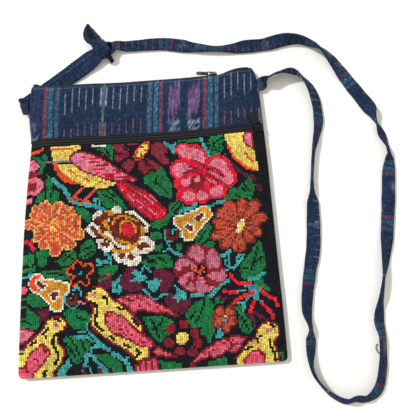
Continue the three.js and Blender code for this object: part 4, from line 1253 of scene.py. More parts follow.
# %% Leaves
LEAVES = [
    ("green", "", 0, """
    -109,64.5 -103,63.5 -96.5,66.5 -95.5,62 -97,56 -100.5,51 -100.5,44.5 -103,46 -104.5,50 -102,54
    -105,58 -108.5,60.5;
    -96.5,46 -94,42 -90.5,40 -90.5,33 -94.5,29 -97.5,31 -98,36 -95.5,40;
    -108,20 -104,25.5 -97.5,29.5 -90,30 -84,25.5 -83,20.5 -86,17.5 -90,14 -94,18 -99,15.5 -103,14.5
    -108,18.5;
    -38,70.5 -31,71.5 -30,66 -30.5,54 -34,57 -40,63.5 -47,67.5;
    0,28.5 -0.5,35 4,38 7,41 11,40 14,42.5 18,45.5 20,42 22,36 26,30 27,24 27,17 26,11.5 21,14
    13,16.5 8,22 4.5,27.5;
    22,4 26,8 31,10 34,7.5 38,6 37,2 32,-3 27,-4 22,-1.5;
    -47,24 -42,26 -32,24 -25.5,18 -21,12 -18.5,4.5 -23,3.5 -30,8 -33,5.5 -40,8 -44,15;
    103.5,30.5 106,29 107,22 108,17 106,11.5 103,6.5 99.5,8 94,10 90,8 80.5,8 77,8 82,15 85,20.5
    87,19.5 91,18 95,22.5 100,26;
    -119,-36 -114,-31.5 -109.5,-34 -109,-40 -112,-46 -117,-43;
    -106.5,-31 -95,-29.5 -95,-36 -96.5,-45 -101,-46.5 -106,-44 -106.5,-38;
    -118.5,-47 -112,-46 -107,-44 -108,-49 -114,-52 -119,-50;
    -103,-49 -90,-51 -79,-49 -74,-56 -75.5,-60 -82,-60 -90,-59 -95,-57 -100,-56.5;
    -83,-38 -78.5,-33 -74,-33 -69,-31 -68.5,-41 -72,-45 -78,-47.5 -84,-45.5 -88,-42;
    -64,-29 -59,-24 -53,-22.5 -50,-28 -48,-34 -55,-40 -60,-42 -65.5,-39;
    -68,10 -60,8.5 -54,3 -52,-1 -54,-7 -60,-3.5 -65,2.5;
    4,-10 10,-9 18,-8 22,-3 24,-6 20,-14 12,-17 3,-14; 3,-20 8,-19 14,-21 14.5,-26 8,-28 3,-23;
    7.5,-33 14.5,-31 15.5,-35 12,-39 6.5,-38.5;
    -5,-46 0,-42 8,-41 14,-41 22,-43 23.5,-50 23,-55.5 15,-54 8,-54 0,-52 -5.5,-49;
    27,-36.5 29,-32.5 33,-32 33.5,-36 30,-39.5;
    45.5,-32 50,-24 56,-17 61,-14 64,-19 60,-26 58,-31 65,-33 64,-38 57,-37 50,-36 46,-34;
    -48,-52 -40,-49 -29,-49 -28.5,-54 -33,-57 -38,-60 -48,-57;
    109,-33 110,-40 112,-47 112,-60 107,-66 102,-70 96,-72 90,-70 87,-62 88,-57 93,-52 99,-45 104,-38;
    -119,-75 -113,-71 -107,-71 -103,-76 -98,-81 -95.5,-84 -103,-85 -110,-83.5 -116,-79.5;
    -121.5,-80 -117,-82 -113,-87 -107,-90 -104.5,-93.5 -104.5,-101 -107,-104.5 -112,-103.5 -121.5,-102;
    -82,-90 -78,-88.5 -70,-87.5 -58,-91.5 -56,-97 -58,-103 -63,-107.5 -69,-107 -75,-103 -78.5,-96;
    -80.5,-111 -75,-112.5 -70,-113 -63,-113.5 -60,-118 -56,-122 -58,-127 -63,-131 -67,-139 -72,-138
    -76,-132 -78.5,-125 -81,-118;
    -52.5,-131.5 -47,-131 -40,-134 -38,-142 -44,-141 -49,-136.5;
    -48,-131 -42,-130.5 -36,-134 -30,-139 -27,-146 -33,-147.5 -41,-143 -47,-138.5;
    -7,-100 -2,-98.5 4,-100 12,-99.5 18,-102.5 21.5,-106 16,-109 12,-113.5 18,-116 14,-119 8,-123.5
    4,-121 0,-115 -4,-107.5;
    5,-140 10,-141 20,-142.5 28,-145 27,-147 12,-147.5 7,-144.5;
    34,-98 39,-92.5 44,-88.5 50,-86 56,-82 57,-87 61,-92 60.5,-97 58,-104 58,-113 52,-112.5 44,-112
    39,-113.5 36,-108 34,-103;
    47,-114 54,-110 60,-112 60,-118 57,-121 55,-127.5 52,-127.5 51.5,-122 47,-118.5;
    63,-84 66,-88.5 70,-91 66,-92.5 62,-91;
    81.5,-94.5 85,-92 86,-97 88,-101.5 91,-104.5 94,-110 95.5,-117 92,-121.5 86,-119.5 83,-114.5
    83,-108.5 82,-102;
    98,-74 104,-71 110,-70 109,-75 114,-79.5 115.5,-84 112,-84 107,-79 103,-76.5;
    47,-147 52,-144.5 58,-143 66,-140.5 70,-141 69,-146.5 60,-148;
    119.5,-140.5 122.5,-140 123.5,-144 121,-146.5
    """),
    ("green_dotted", "", 0, """
    66.5,69.6 68.6,73.3 80.6,75 81.5,67 80.4,58.4 83,51 77,53 70,53 67.5,51 66.5,57.4 64.5,65
    """),
    ("green", "", 3.0, "24,-4 15,-10; 36,70.5 58,70.5; -118.5,-10 -118,-17"),
    ("ground", "", 1.7, """
    -104,64 -100,60; -97,31 -97,22 -101,16; -90,30 -92,21; -38,67 -32,58; 13,35 10,30 20,21; 17,24 22,19;
    24,1 31,7; 28,-2 35,5; -40,20 -33,16 -27,10; -36,24 -30,18; 98,22 104,15; 95,20 99,14; 88,14 92,10;
    -98,-52 -80,-55; -80,-42 -74,-36; -78,-37 -70,-41; -62,-33 -54,-30; -60,-38 -52,-35; -2,-44 8,-50;
    10,-44 18,-50; 0,-49 6,-46; 50,-31 58,-20; 52,-35 60,-30; 106,-40 102,-52 98,-62; 110,-50 103,-54;
    90,-60 97,-61; -118,-84 -119,-92; -121,-95 -112,-100; -69,-95 -62,-98; -77,-112 -70,-122 -66,-134;
    -79,-119 -71,-131; -66,-114 -62,-126; -1,-101 3,-106 5,-111 7,-118; 12,-101 8,-108; 0,-112 6,-109;
    52,-87 50,-95 46,-102 42,-108; 38,-103 42,-98; 84,-103 88,-110 91,-117; 86,-112 90,-109
    """),
]

# %% Branches
BRANCHES = [
    ("turquoise", "", 4.0, """
    -90,40 -86.5,34.5 -80,30 -75.5,23 -72,16.5 -65,13 -57,11.5 -50,10.5 -44,7.5 -40,5.5;
    22,69 26,66 29,62.5 31,59.5; 64,-115 65,-120 62,-121; 40,-82 51,-82.5; 58,-84 62,-79.5 66,-76 69,-73;
    -48,-122.5 -44,-125 -39,-127; -36,-130 -31,-134.5 -25,-138 -23,-143 -20,-146;
    -27,-61 -31,-65 -34,-66 -33.5,-73 -28,-74.5 -27,-70
    """),
    ("turquoise", "", 3.0, """
    -117,10 -116,4; 30,66 33,68; 58.5,71.5 61,64 64,58 66,51.5; 33,-3 38,1 42,2.5; 37,-0.5 45,1.5 49.5,5.5;
    60,1 66,3.5 72,6 78,6; -119.5,-56 -112,-53; -48,-43 -42,-45 -35,-47; -41,-37 -36,-41 -35,-46;
    -48,-48 -44,-47; 69,-46 75,-46 79,-42; -70,-113.5 -60,-114 -55,-118 -47,-120;
    -58,-110 -53,-115 -49,-119; -62,-130 -57,-131 -56,-125 -51,-123; -60,-131 -62,-138 -65,-144;
    -56,-130 -52,-137 -47,-142; -47,-122 -42,-126; -48,-141.5 -43,-146; 91,-89 97,-85;
    95,-70.5 103,-70.5 108,-66 112,-65.5; 85,-92 89,-93 88,-99; 21.5,-36 27,-41 34,-45
    """),
    ("turquoise", "", 2.0, """
    -44.5,9 -44.5,15 -47,18 -49.5,16 -48,12.5; 77,-47 77,-58; 73,-54 77,-58 82,-59.5; 73,-54 75,-51;
    82,-59.5 86,-55 90,-51 92,-47 87,-47 85,-52; 75,-60 74,-64; -59,-101 -60,-108; -68.5,-110 -62,-108.5;
    -60,-140 -57,-146; -51,-142 -45,-147; -24,-136 -21.5,-134.5; -6,-56 -4,-52.5 0,-53.5 1.5,-57;
    -5.5,-73 -1,-78 3,-83 8,-83.5; 7,-83.5 12,-80.5 19,-79; 70.5,-73 76,-72 75,-70; 21.5,-36 16.5,-39
    """),
    ("turquoise", "", 0, """
    -78,-131 -80,-136 -86,-141 -91,-147 -84,-147.5 -78,-142 -74,-139.5 -77,-135;
    95,-77 100,-75 104.5,-77 105,-82 103,-88 100,-91 98,-86 94,-83
    """),
    ("chili", "", 3.4, """
    -119,-18.5 -113,-23.5 -109.5,-29; 77.5,-65 81,-70 85.5,-74 96.5,-74.5; 71,-80.5 78,-81.5 83.5,-81.5;
    79,-92 84,-88.5 90,-85 98.5,-83.5; 98.5,-91.5 96,-97 94,-102; 105,-92 109,-97 114,-103 116,-108.5;
    107.5,-83.5 113,-87.5 119,-91 121,-96; 106.5,-80
    """),
    ("turquoise", "", 1.6, "83.5,-81.5 94,-81.5; 89,-76 95,-76.5; 102,-86 104,-92"),
    ("maroon", "", 3.2, "91,-103 96,-104 97.5,-113; 97,-102 103,-105 110,-110"),
    ("maroon", "", 0, "64,-83.5 69,-86 73,-86.5 70.5,-89 66,-88.5"),
]

# %% Flowers at the top
TOP_FLOWERS = [
    ("pink_flecked", "", 0, """
    -113.5,62.5 -110,64 -109,61 -105.5,57 -103,54 -106,51.5 -110,49.5 -113.5,49.5 -114,55;
    -112,43 -108,43 -102.5,40.5 -100,37.5 -98.7,33.5 -100,30 -105,26 -110,23.8 -113,26 -116,27.5 -114.5,33;
    -116,26 -113,23 -111,20 -113,17 -116.5,11.5 -117,19
    """),
    ("dark_red", "", 0, """
    -114,49 -104,49 -104.5,45 -109,43 -113.5,43.5;
    -113.5,39 -109,37 -105,38 -107.5,34.5 -108,29.5 -110,27.8 -113,30
    """),
    ("orange", "", 3.0, "-108.5,68.3 -100.5,71.3"),
    ("white", "", 2.5, "-50,71 -38,70"),
    ("red", "", 2.6, "-40,61"),
    ("burgundy", "dark_red", 0, """
    -29,70.5 -24,71.5 -18.5,70.5 -17.5,66.5 -13,66 -12,62 -16,60.5 -20,61 -27,63.5 -29,66;
    -28,60 -24,61 -19,60.5 -13.5,60 -16,57 -20,55 -22.5,52.5 -27,53.5 -28.5,57;
    -21,50.5 -16,54 -10.5,55.5 -8.5,50 -9.5,45 -13.5,42 -18,43 -21,47;
    -6,49 -2.5,54 0.5,53 1.5,49 5,46.5 7,44 4,40 1,37.8 -3,41 -5.5,45;
    3,54 6,54 11,50.5 16.5,46.5 16.5,43 13,41 8.5,44 4,49;
    8,68.5 13,71 20,70 23,66 25.5,62.5 24,58.5 22.5,56.5 25,53 25,48 21,46.3 15,51.5 10,57 7,60
    """),
    ("burgundy", "", 2.5, "-14,70 -6,70"),
    ("ground", "", 1.7, "-20,66 -10,62; 22,58 24,54"),
    ("yellow_dotted", "orange", 0, """
    -9.6,57.9 -9.2,54 -5.9,52.9 -0.2,55.1 4.1,61 6.4,66.9 6.9,70.8 5,72.4 0.7,71.8 -3.1,68.6 -6.9,63.8
    """),
    ("red", "", 0, """
    31.5,62 33,66 37,68 42,68 45.8,65.7 50,66 55,65.5 59,61 62,58 64,54 65.5,50 68,52.5 73,54.5 78,53.5
    82,51 86,46 88,41 89.5,36 92.5,31 91,26 88,21.5 84,20.5 81.5,17 80,13 77,9 70,8.5 66,9.5 62,10
    60.5,7 57.5,4.5 54,5 50.5,8 48.5,6.5 45,5 41.5,4.5 37.5,8 31,10.5 31,17.5 33.5,19.5 29.5,22.5
    29,28 31,32.5 27.5,35 25,39 25.5,44 28,48 31.5,51 36,52 34.5,55.5 31.5,58.5
    """),
    ("pink", "", 0, """
    33.5,61 36,65 41,66 44,63.5 50,62 56,60 60,56 61.5,50.5 60,46 55,48 49,51 42,52.5 37,55.5;
    27.5,39 28.5,44.5 32,47.5 40,48 44,45 47,41.5 44,38 39,35.5 36,33.5 31.5,33.5;
    36,30 40,31 45,32 46,27 43,23 38,24 35.5,27; 36,13 38,17 42,19.5 48,17 50,12.5 47,9.5 41,8.5;
    50.5,16 55,18 60,16.5 62,13 59,9 54.5,8.5 51,11; 63,19 68,21 74,23 77,19.5 76.5,14 72,10.5 66,11.5 63,14;
    64,43 68,49 74,50.5 79,48 82,44 84,38 87,33 88.5,28 85,23 80.5,23.5 77,27.5 80,31 76,37 72,40 68,41.5
    """),
    ("pink", "", 2.6, "61,30 70,25.5; 66,36 77,29"),
    ("dark_red", "", 2.0, """
    44,43.5 50,42 55,40; 50,49.5 56,46 60,42.5; 40,37.5 46,39.5 52,37 57,34; 58,46 59,41;
    62,39 70,41 74,37 78,31; 60,35 66,33 70,29 72,26; 61,29 66,24
    """),
    ("dark_red", "", 0, """
    45,31 50,33 57,34 60,31 58.5,25 59,20 57,18 54.5,22 52,16 50,20.5 44.5,21 43,24 46,27
    """),
    ("pink", "", 6.0, "52.2,29.8"),
]

# %% Flowers in the middle
MIDDLE_FLOWERS = [
    ("coral_flecked", "apricot", 0, """
    -113,9.8 -112,14 -108,15.3 -104.5,13.8 -101.5,17.5 -97.5,18.8 -94,17.5 -92,14.5 -90,13.5 -88,15
    -86,17 -82,17.8 -80.5,15 -77.5,12.5 -74,11 -70.5,11.5 -69,9 -68.7,4.5 -67,2.5 -63.5,2 -62.3,-3
    -63,-8 -62.5,-12 -60,-14.5 -58.8,-18 -60.5,-21.5 -64,-22.5 -69.5,-22 -68.5,-25 -68,-28 -71,-31
    -74.5,-32.3 -79,-31 -80.5,-29.5 -82,-32 -84.5,-37 -88,-38 -92,-37 -94,-33 -95.5,-28 -97,-29
    -104.5,-28.5 -105.5,-22.5 -110,-22.3 -112,-20.5 -110.5,-15.5 -109.5,-11.5 -113,-9 -117.5,-8
    -119.3,-4.5 -117.5,0 -114.5,2 -112.5,2 -114,5
    """),
    ("apricot", "", 1.5, star("-89.5,-9", """
    -92,14.5 -80.5,15 -69,4.5 -63,-10 -69.5,-22 -81,-30 -95,-28 -105.5,-22 -110,-12 -113,2 -104.5,13.8
    """)),
    ("yellow", "orange", 0, "-95,-7 -90,-6 -86,-8 -83.5,-13 -84,-16 -88,-15.5 -91,-17 -95.5,-13.5"),
    ("dusty", "", 2.6, "-94,-9.5"),
    ("orange", "", 1.9, """
    -70.5,-49 -70.5,-45.5 -67.5,-43 -64,-43.5 -62.5,-47 -61,-48.5 -58.5,-46 -54.5,-46 -52,-50 -53.5,-54
    -57,-56.5 -58.5,-58.5 -56,-62 -57,-65.5 -61,-66 -63.5,-63 -65,-61.5 -68,-64.5 -72,-66.5 -74.5,-63.5
    -73,-60 -69.5,-57.5 -72,-56 -76,-54 -76.5,-50 -73,-48.5 -70.5,-49
    """),
    ("turquoise", "", 3.2, "-64.5,-54.8"),
    ("brown", "", 0, """
    -49.5,-3 -45,0 -41,3.5 -37,2.5 -30,1 -21.5,2.5 -14.5,-1 -8,-5.5 -4,-10.5 -1.5,-16 -3.5,-20.5 -5,-26.5
    -8,-30 -15,-33.5 -24.5,-34 -31,-30.5 -36,-25.5 -40.5,-18 -44,-12 -48,-7
    """),
    ("gold", "", 0, """
    -38,4.5 -33,4.5 -31,-1 -37,-1.5;
    -40,-1.5 -37,-3.5 -36.5,-9.5 -34.5,-15.5 -32.5,-20.5 -35.5,-18.5 -39.5,-12.5 -43,-6;
    -16.5,-30.5 -11,-29 -7,-27 -8,-32 -12,-35.5 -18,-35
    """),
    ("gold", "", 2.4, """
    -32.5,-9 -29.5,-4 -25.5,-2 -19.5,-2.5 -14,-5 -8,-8; -33,-34 -26.5,-35.5 -19.5,-36 -14,-35.5;
    -25,-18 -25.5,-12.5 -23.5,-7.5 -19.5,-6.5 -15,-8 -12,-11 -10,-15.5 -10,-19;
    -29,-24 -25,-27 -19.5,-27.5 -16.5,-29.5
    """),
    ("gold", "", 3.2, "-4.5,-13.5 -3,-17.5 -4.5,-22.5 -6,-26.5 -10,-31"),
    ("red", "", 0, """
    -22.5,-9.5 -19.5,-7.5 -17,-10 -14,-12 -10.5,-16 -11.5,-22 -18.5,-22.5 -22,-20.5 -24,-15.5
    """),
    ("white", "", 9.0, "-28,4.5"),
    ("white", "", 1.8, "-37.5,-1.5 -35,-6.5"),
    ("white", "", 3.2, """
    -39.5,-17.5 -35.5,-21.5 -32,-25.5 -28,-29.5 -24.5,-32 -18.5,-32.5;
    -18.5,2 -11.5,0.5 -8,-3.5 -3,-8 1.5,-13 -0.5,-18
    """),
    ("white", "", 0, """
    -4,-22.5 0,-22.5 4.5,-26 7,-31 6.5,-35.5 1.5,-39.5 -4,-41 -10,-40 -14,-38 -15,-36 -8,-30;
    -34,-38.5 -32,-43 -29,-46.5 -20,-49 -18,-51.5 -12,-51 -7,-48 -6.5,-42 -9,-39 -14,-36 -20,-37 -30,-36;
    -49,-24 -44,-22.5 -38,-25.5 -33,-29 -32.5,-33 -37,-35.5 -42,-35 -46,-32;
    -59.5,-12 -55.5,-8 -52,-6.7 -48,-8.5 -44.5,-12 -43,-16 -45,-19 -50,-21.5 -55,-18;
    -52.5,-1.5 -49,3 -45,5.5 -41.5,4 -42.5,1 -47.5,-3 -51,-5
    """),
    ("brown", "", 0, """
    -11,-33 -6,-29.5 -2,-28 2,-31 3,-34.5 -2,-35 -7,-36; -29.5,-40 -24,-38 -20.5,-39 -23,-44 -28,-42;
    -19.5,-40.5 -16,-38.5 -12,-43 -14,-46.5 -18,-45; -45,-27 -40,-25.5 -36,-28 -36,-31 -39.5,-32 -43,-30;
    -55,-10.5 -51,-10 -48,-13 -45.5,-17.5 -44,-21 -47.5,-21 -51,-16.5;
    -50,-3 -45,0 -41,3 -37.5,2 -37,-3 -41,-6 -44,-11 -47,-8 -49,-5
    """),
    ("gold", "", 2.6, "-46,-14 -41,-20 -36,-24; -33,-34 -26,-37 -17,-37.5"),
    ("gold", "white", 0, """
    25.5,-9 27,-6 33,-4.5 38,-3.5 44,-1.5 48,-1 51,2 55,3.5 60,3 64,-1 65,-6 63,-10 58.5,-13 54,-18
    50,-22 47.5,-26.5 45,-29.5 41.5,-31.5 36,-30 33.5,-26 33,-20 30,-16.5 26.5,-14
    """),
    ("brown", "white", 0, """
    45,-8.5 49.5,-4.5 54,-2 58,-4 57.5,-8.5 53,-12.5 47.5,-12.5;
    34.5,-14.5 41,-12.5 46,-15.5 46.5,-21 42,-23 38,-19
    """),
    ("brown", "", 4.5, "20.5,-20 20,-25 24,-28 29,-26 30.5,-20.5"),
    ("turquoise", "", 1.6, """
    18.5,-18 17,-25 19,-30 25,-30.5; 33.5,-21 32.5,-26; 24.5,-23 25,-19; 27,-18 31,-17.5; 20,-31 21.5,-36
    """),
    ("rust_flecked", "dark_rust", 0, """
    68,-4.5 69,-1 73.5,0.5 76,5 80,7.5 84.5,7 88,4.5 91,8.5 95,9.8 98.5,7 101,4.5 104,7.5 108,8 112,5
    113.5,1 112,-3 109.5,-5.5 113.5,-5 117.5,-7.5 119,-11.5 117.5,-15.5 113,-17 108.5,-20 111.5,-23
    112.5,-28 109,-30 105,-30.5 105.5,-34 102,-37 97,-36.5 95,-38 94.5,-42.5 91,-45 86.5,-46 83,-43.5
    80,-39 77,-41 73,-41.5 69.5,-38 69.5,-33 71.5,-31.5 63,-31 60,-28.5 62,-25 66,-22 65,-18 64,-11.5 67,-9
    """),
    ("dark_rust", "", 1.6, star("91,-18", """
    88,4.5 101,4.5 109.5,-5 109,-20 105,-31 95,-38 80,-39 71.5,-31.5 66,-22 67,-9
    """)),
    ("cream", "", 0, "85,-24.5 88.5,-20 88.5,-16.5 92.5,-11.5 95,-13.5 96.5,-18 93.5,-21 91.5,-25"),
]

# %% Flowers lower down
LOWER_FLOWERS = [
    ("dark_red", "", 0, """
    39,-37.5 43,-35 52,-34.5 58,-37.5 63,-38 69,-45 71,-55 75,-64 72,-71 64,-76 56,-81 47,-81 38,-79
    30,-73 24,-58 26,-50 32,-45 37,-43
    """),
    ("dusty", "", 0, """
    40,-41 43,-36 48,-34.5 51.5,-38 54.5,-40 54.5,-46 52,-51 49,-52.5 44,-48 40,-44.5;
    58,-41 62,-39.5 66,-42 68.5,-47 69,-55 66.5,-57.5 61,-58.5 56,-56 55.5,-50 57,-45;
    56,-64 61,-62 68,-61 71,-59.5 74.5,-65.5 72,-69.5 66,-72 61,-68.5;
    44.5,-71 47,-66.5 51,-66 54,-70 58,-75 62,-75 57,-79.5 51,-81 46,-79 44.5,-74;
    34,-62.5 38,-61 43,-60.5 43.5,-65 41,-70 44,-76 42,-78 37,-77.5 31.5,-73 28,-68 30,-64;
    25,-55 27.5,-50 31,-46.5 37,-46.5 41,-49 45,-54 43,-57.5 37,-57 29,-58.5
    """),
    ("dark_red", "", 3.0, "53,-72 60,-73; 40,-66 36,-72; 33,-56.5 40,-55"),
    ("orange_checked", "", 12.6, "50,-59.5"),
    ("gold", "white", 0, """
    -115.5,-62 -114.5,-57 -110,-52.5 -105,-51.5 -102,-54 -99.5,-57 -93,-57.5 -86,-60 -78,-61.5 -76,-62
    -74.5,-66.5 -75,-72 -79,-74.7 -81.4,-77.5 -80.9,-87 -83.6,-89.7 -89.5,-89.3 -94,-86.5 -95,-81.5
    -100,-77.5 -104,-73 -111,-69 -115,-65
    """),
    ("orange", "", 0, """
    -115,-62 -113,-57 -109,-54 -105.5,-53 -103,-55 -108,-58.5 -108.5,-61 -105,-66 -103.5,-68 -110,-68
    -114,-65
    """),
    ("brown", "white", 0, """
    -109,-59 -105,-57.5 -100,-60.5 -96,-63.5 -97,-68 -102,-69 -107,-65.5;
    -95.5,-73 -91,-69.5 -84,-69.5 -84.5,-74.5 -88.5,-80.5 -92.5,-79.5
    """),
    ("brown", "", 4.0, "-77.5,-78 -76,-82 -72.5,-83 -69,-80.5 -68.5,-75.5"),
    ("turquoise", "", 1.7, """
    -80,-76 -79.5,-82 -75,-86 -70,-86.5 -67,-83.5; -73.5,-78 -72.5,-73; -72,-71 -67,-66.5 -64.5,-72 -65,-75.5
    """),
    ("pink", "", 1.7, "-66,-80.7 -61,-83.5"),
    ("rose", "", 0, "-121.5,-64 -118,-63 -116.5,-67.5 -118.5,-72 -121.5,-73"),
    ("maroon", "", 0, """
    -109,-85 -104,-87 -98,-85 -93.5,-87.5 -94,-91.5 -98,-95 -103,-99 -104,-93 -106,-88.5;
    -48,-60 -42,-57 -36,-57.5 -34.5,-63 -36,-70 -40,-72 -48,-66;
    -28,-63 -24,-58 -20,-53 -16,-51.5 -11,-52.5 -14,-56 -17,-60 -10,-63 -6,-67 -5.5,-73 -12,-75 -20,-74.5
    -26,-70;
    3.5,-58 7,-55.5 14,-55 21,-58.5 25.5,-63 23,-69 19,-76 13,-79 9,-72 12,-66 6,-64;
    15,-82 19,-79 24,-80 30,-85 36,-86 39.5,-84 39,-90 36,-95 30,-98.5 24,-97.5 18,-92 15,-87
    """),
    ("green", "", 1.8, "-48,-63 -38,-60"),
    ("red", "", 3.2, "-38,-57.5"),
    ("turquoise", "", 0, """
    -15.5,-57 -11,-54.5 -7,-57 -6,-59.5 -1,-62 -2,-66 -10,-67 -18.5,-64.5 -12,-62;
    -2.5,-66 4,-65.5 7.5,-61.5 8,-65 14,-65.5 10.5,-69 9,-74 6,-78 2,-75 -1,-71;
    24,-71 28,-74 30,-77 34,-78 36,-82 33,-87.5 30.5,-84 27,-88.5 25.5,-84.5 21.5,-84 26,-80 25,-75
    """),
    ("brown", "", 0, "-67,-146 -64,-142.5 -60.5,-146.5; -53,-146 -49,-143.5 -45,-146.5"),
    ("pink", "dark_red", 0, "-122,-104 -119,-103 -112,-104.5 -108,-107 -113,-111.5 -118,-116 -122.5,-120"),
    ("yellow", "", 11.5, "29,-121"),
    ("dark_red", "", 9.0, "19,-111.5; 31.5,-108.5; 41,-117; 43,-126; 38,-134; 16.5,-124.5; 26.5,-132.5"),
    ("rust_flecked", "dark_rust", 0, """
    58,-104 60,-97 64,-93 69,-93 70.5,-97 73,-93.5 79,-92.5 81.5,-97 80,-103 82,-109 78,-113.5 74.5,-114
    74,-118 71.5,-120 67.5,-118.5 66,-114 62,-115.5 58.5,-113 59,-108
    """),
    ("dark_rust", "", 1.5, star("70,-105", "70.5,-97 60,-101 66,-114 75,-114 80,-102")),
    ("white", "", 1.7, "68,-104.5 71,-103.8"),
    ("turquoise", "", 2.4, "69.5,-107"),
]

# %% The bird at the top left
TOP_BIRD = [
    ("yellow", "", 0, """
    -94.5,71.5 -92,72.8 -64,72.8 -62,70.5 -62,68.5 -68,67 -72,64 -73.5,60.5 -72.5,57 -89.5,57.5
    -90.5,60 -90.5,67 -92,69.5;
    -86,54.5 -72,54.5 -67.5,51.5 -62,46 -55,42.5 -47,40 -40,36 -36,34 -30.5,33 -24.5,34 -24,31 -28,31
    -34,28 -40,27.5 -47,27.7 -50,29 -58,29 -63.5,32.5 -69.5,36.5 -72.5,39 -78,43.5 -81.5,47 -84,51
    """),
    ("orange", "", 0, """
    -90,56 -85.5,55.5 -84,51 -81.5,47 -78,43.5 -72.5,39 -69.5,36.5 -63.5,34.5 -62,32.3 -70,33 -77,35.2
    -82.5,39.5 -86,45 -88.5,50
    """),
    ("orange", "", 1.8, """
    -92,70.5 -84,69.3 -76,70 -66,70.5; -73,47 -66,41.5; -60,38.5 -54,35.5; -44,33.5 -38,31.5
    """),
    ("lilac", "", 1.8, "-97,57 -80,56.3 -69,56.6"),
    ("pink", "dark_red", 0, """
    -69,66.2 -60,66.3 -54,64.7 -47,61 -40,57 -31,50.5 -22,44 -13,38 -6,33.5 -10,30.7 -17,32.5 -30,33.5
    -40,36 -47,40 -55,42.5 -62,46 -67.5,51.5 -72,55.5 -73.2,59 -71.5,63
    """),
    ("red", "", 1.5, "-61,59.5 -38,56.5; -49,54 -33,52; -50,46.5 -26,45; -47,42.5 -20,39.5; -44,38.3 -12,35"),
    ("dark_red", "", 1.3, "-53,54.5 -47,53; -46,50.5 -30,49; -42,44 -22,43; -38,39 -16,37"),
    ("orchid", "", 3.0, "-68,57 -62,54"),
    ("coral", "", 2.8, """
    -60.7,28.5 -69.8,19.8 -73.5,15.3; -70,20 -64,16.5; -48,26.2 -59.8,16.2 -62.5,13.5; -59,17 -54.5,13.5
    """),
    ("tail_red", "dark_red", 0, """
    -28,31.5 -25,33.5 -20,33 -14,30 -6.5,25.5 2,22 8.5,15.5 15,8.5 20.5,2 20.5,-4 15,-8.5 6,-8.5 -0.5,-4
    -6.5,1.5 -13.5,7 -19.5,14.5 -24,22
    """),
    ("dark_red", "", 1.3, "-18,27 -8,19 2,11 13,1; -21,23 -12,14 -2,5 8,-4; -13,27 -2,20 8,12 17,3"),
    ("pink", "", 1.0, "-6,20.5 2,15 9,8; -9,13.5 0,6 9,-2; -17,19 -11,12; 4,18 12,10"),
]

# %% The birds at the bottom
LEFT_BIRD = [
    ("yellow", "dark_red", 0, """
    -100,-102 -96.4,-95.6 -90,-92.9 -83.6,-93.4 -80,-97 -77.3,-101 -78,-103.4 -81.5,-107 -84,-109.5
    -86.5,-114 -86.5,-117 -83.5,-119.5 -81,-124 -81,-130.5 -83.5,-136 -88,-141 -93,-146.5 -96,-149
    -106,-149 -122.5,-149 -122.5,-137 -122,-122.5 -115,-115.5 -106.8,-108.4 -103,-105
    """),
    ("rose_flecked", "dark_red", 0, """
    -104,-117.5 -100,-117 -97,-119.5 -94.3,-124 -94,-128.5 -98,-132.5 -101,-137.5 -105.5,-141.5 -111,-144
    -113,-148 -119,-149 -123.3,-145 -122.5,-140 -119,-136 -117.5,-131 -114.5,-126 -110,-122.5 -106,-121
    """),
    ("dark_red", "", 2.0, """
    -100,-121 -97.5,-127; -110,-131 -108,-132; -105,-137 -104,-137; -119,-141.5 -115,-143
    """),
    ("pink", "", 5.2, "-88.5,-101"),
    ("dark_red", "", 2.4, "-88.5,-101"),
    ("ground", "", 2.8, """
    -89,-95.5 -84.5,-97.5; -96.5,-104.5 -100.5,-108.5; -98.3,-111.7; -107.5,-115.5 -113,-118.5; -121,-125.5;
    -102,-144.5 -98.5,-142.5;
    -84.5,-108 -90.5,-112.5 -92,-117.5 -89.5,-122.5 -87,-127 -87.5,-132.5 -90.5,-137
    """),
]
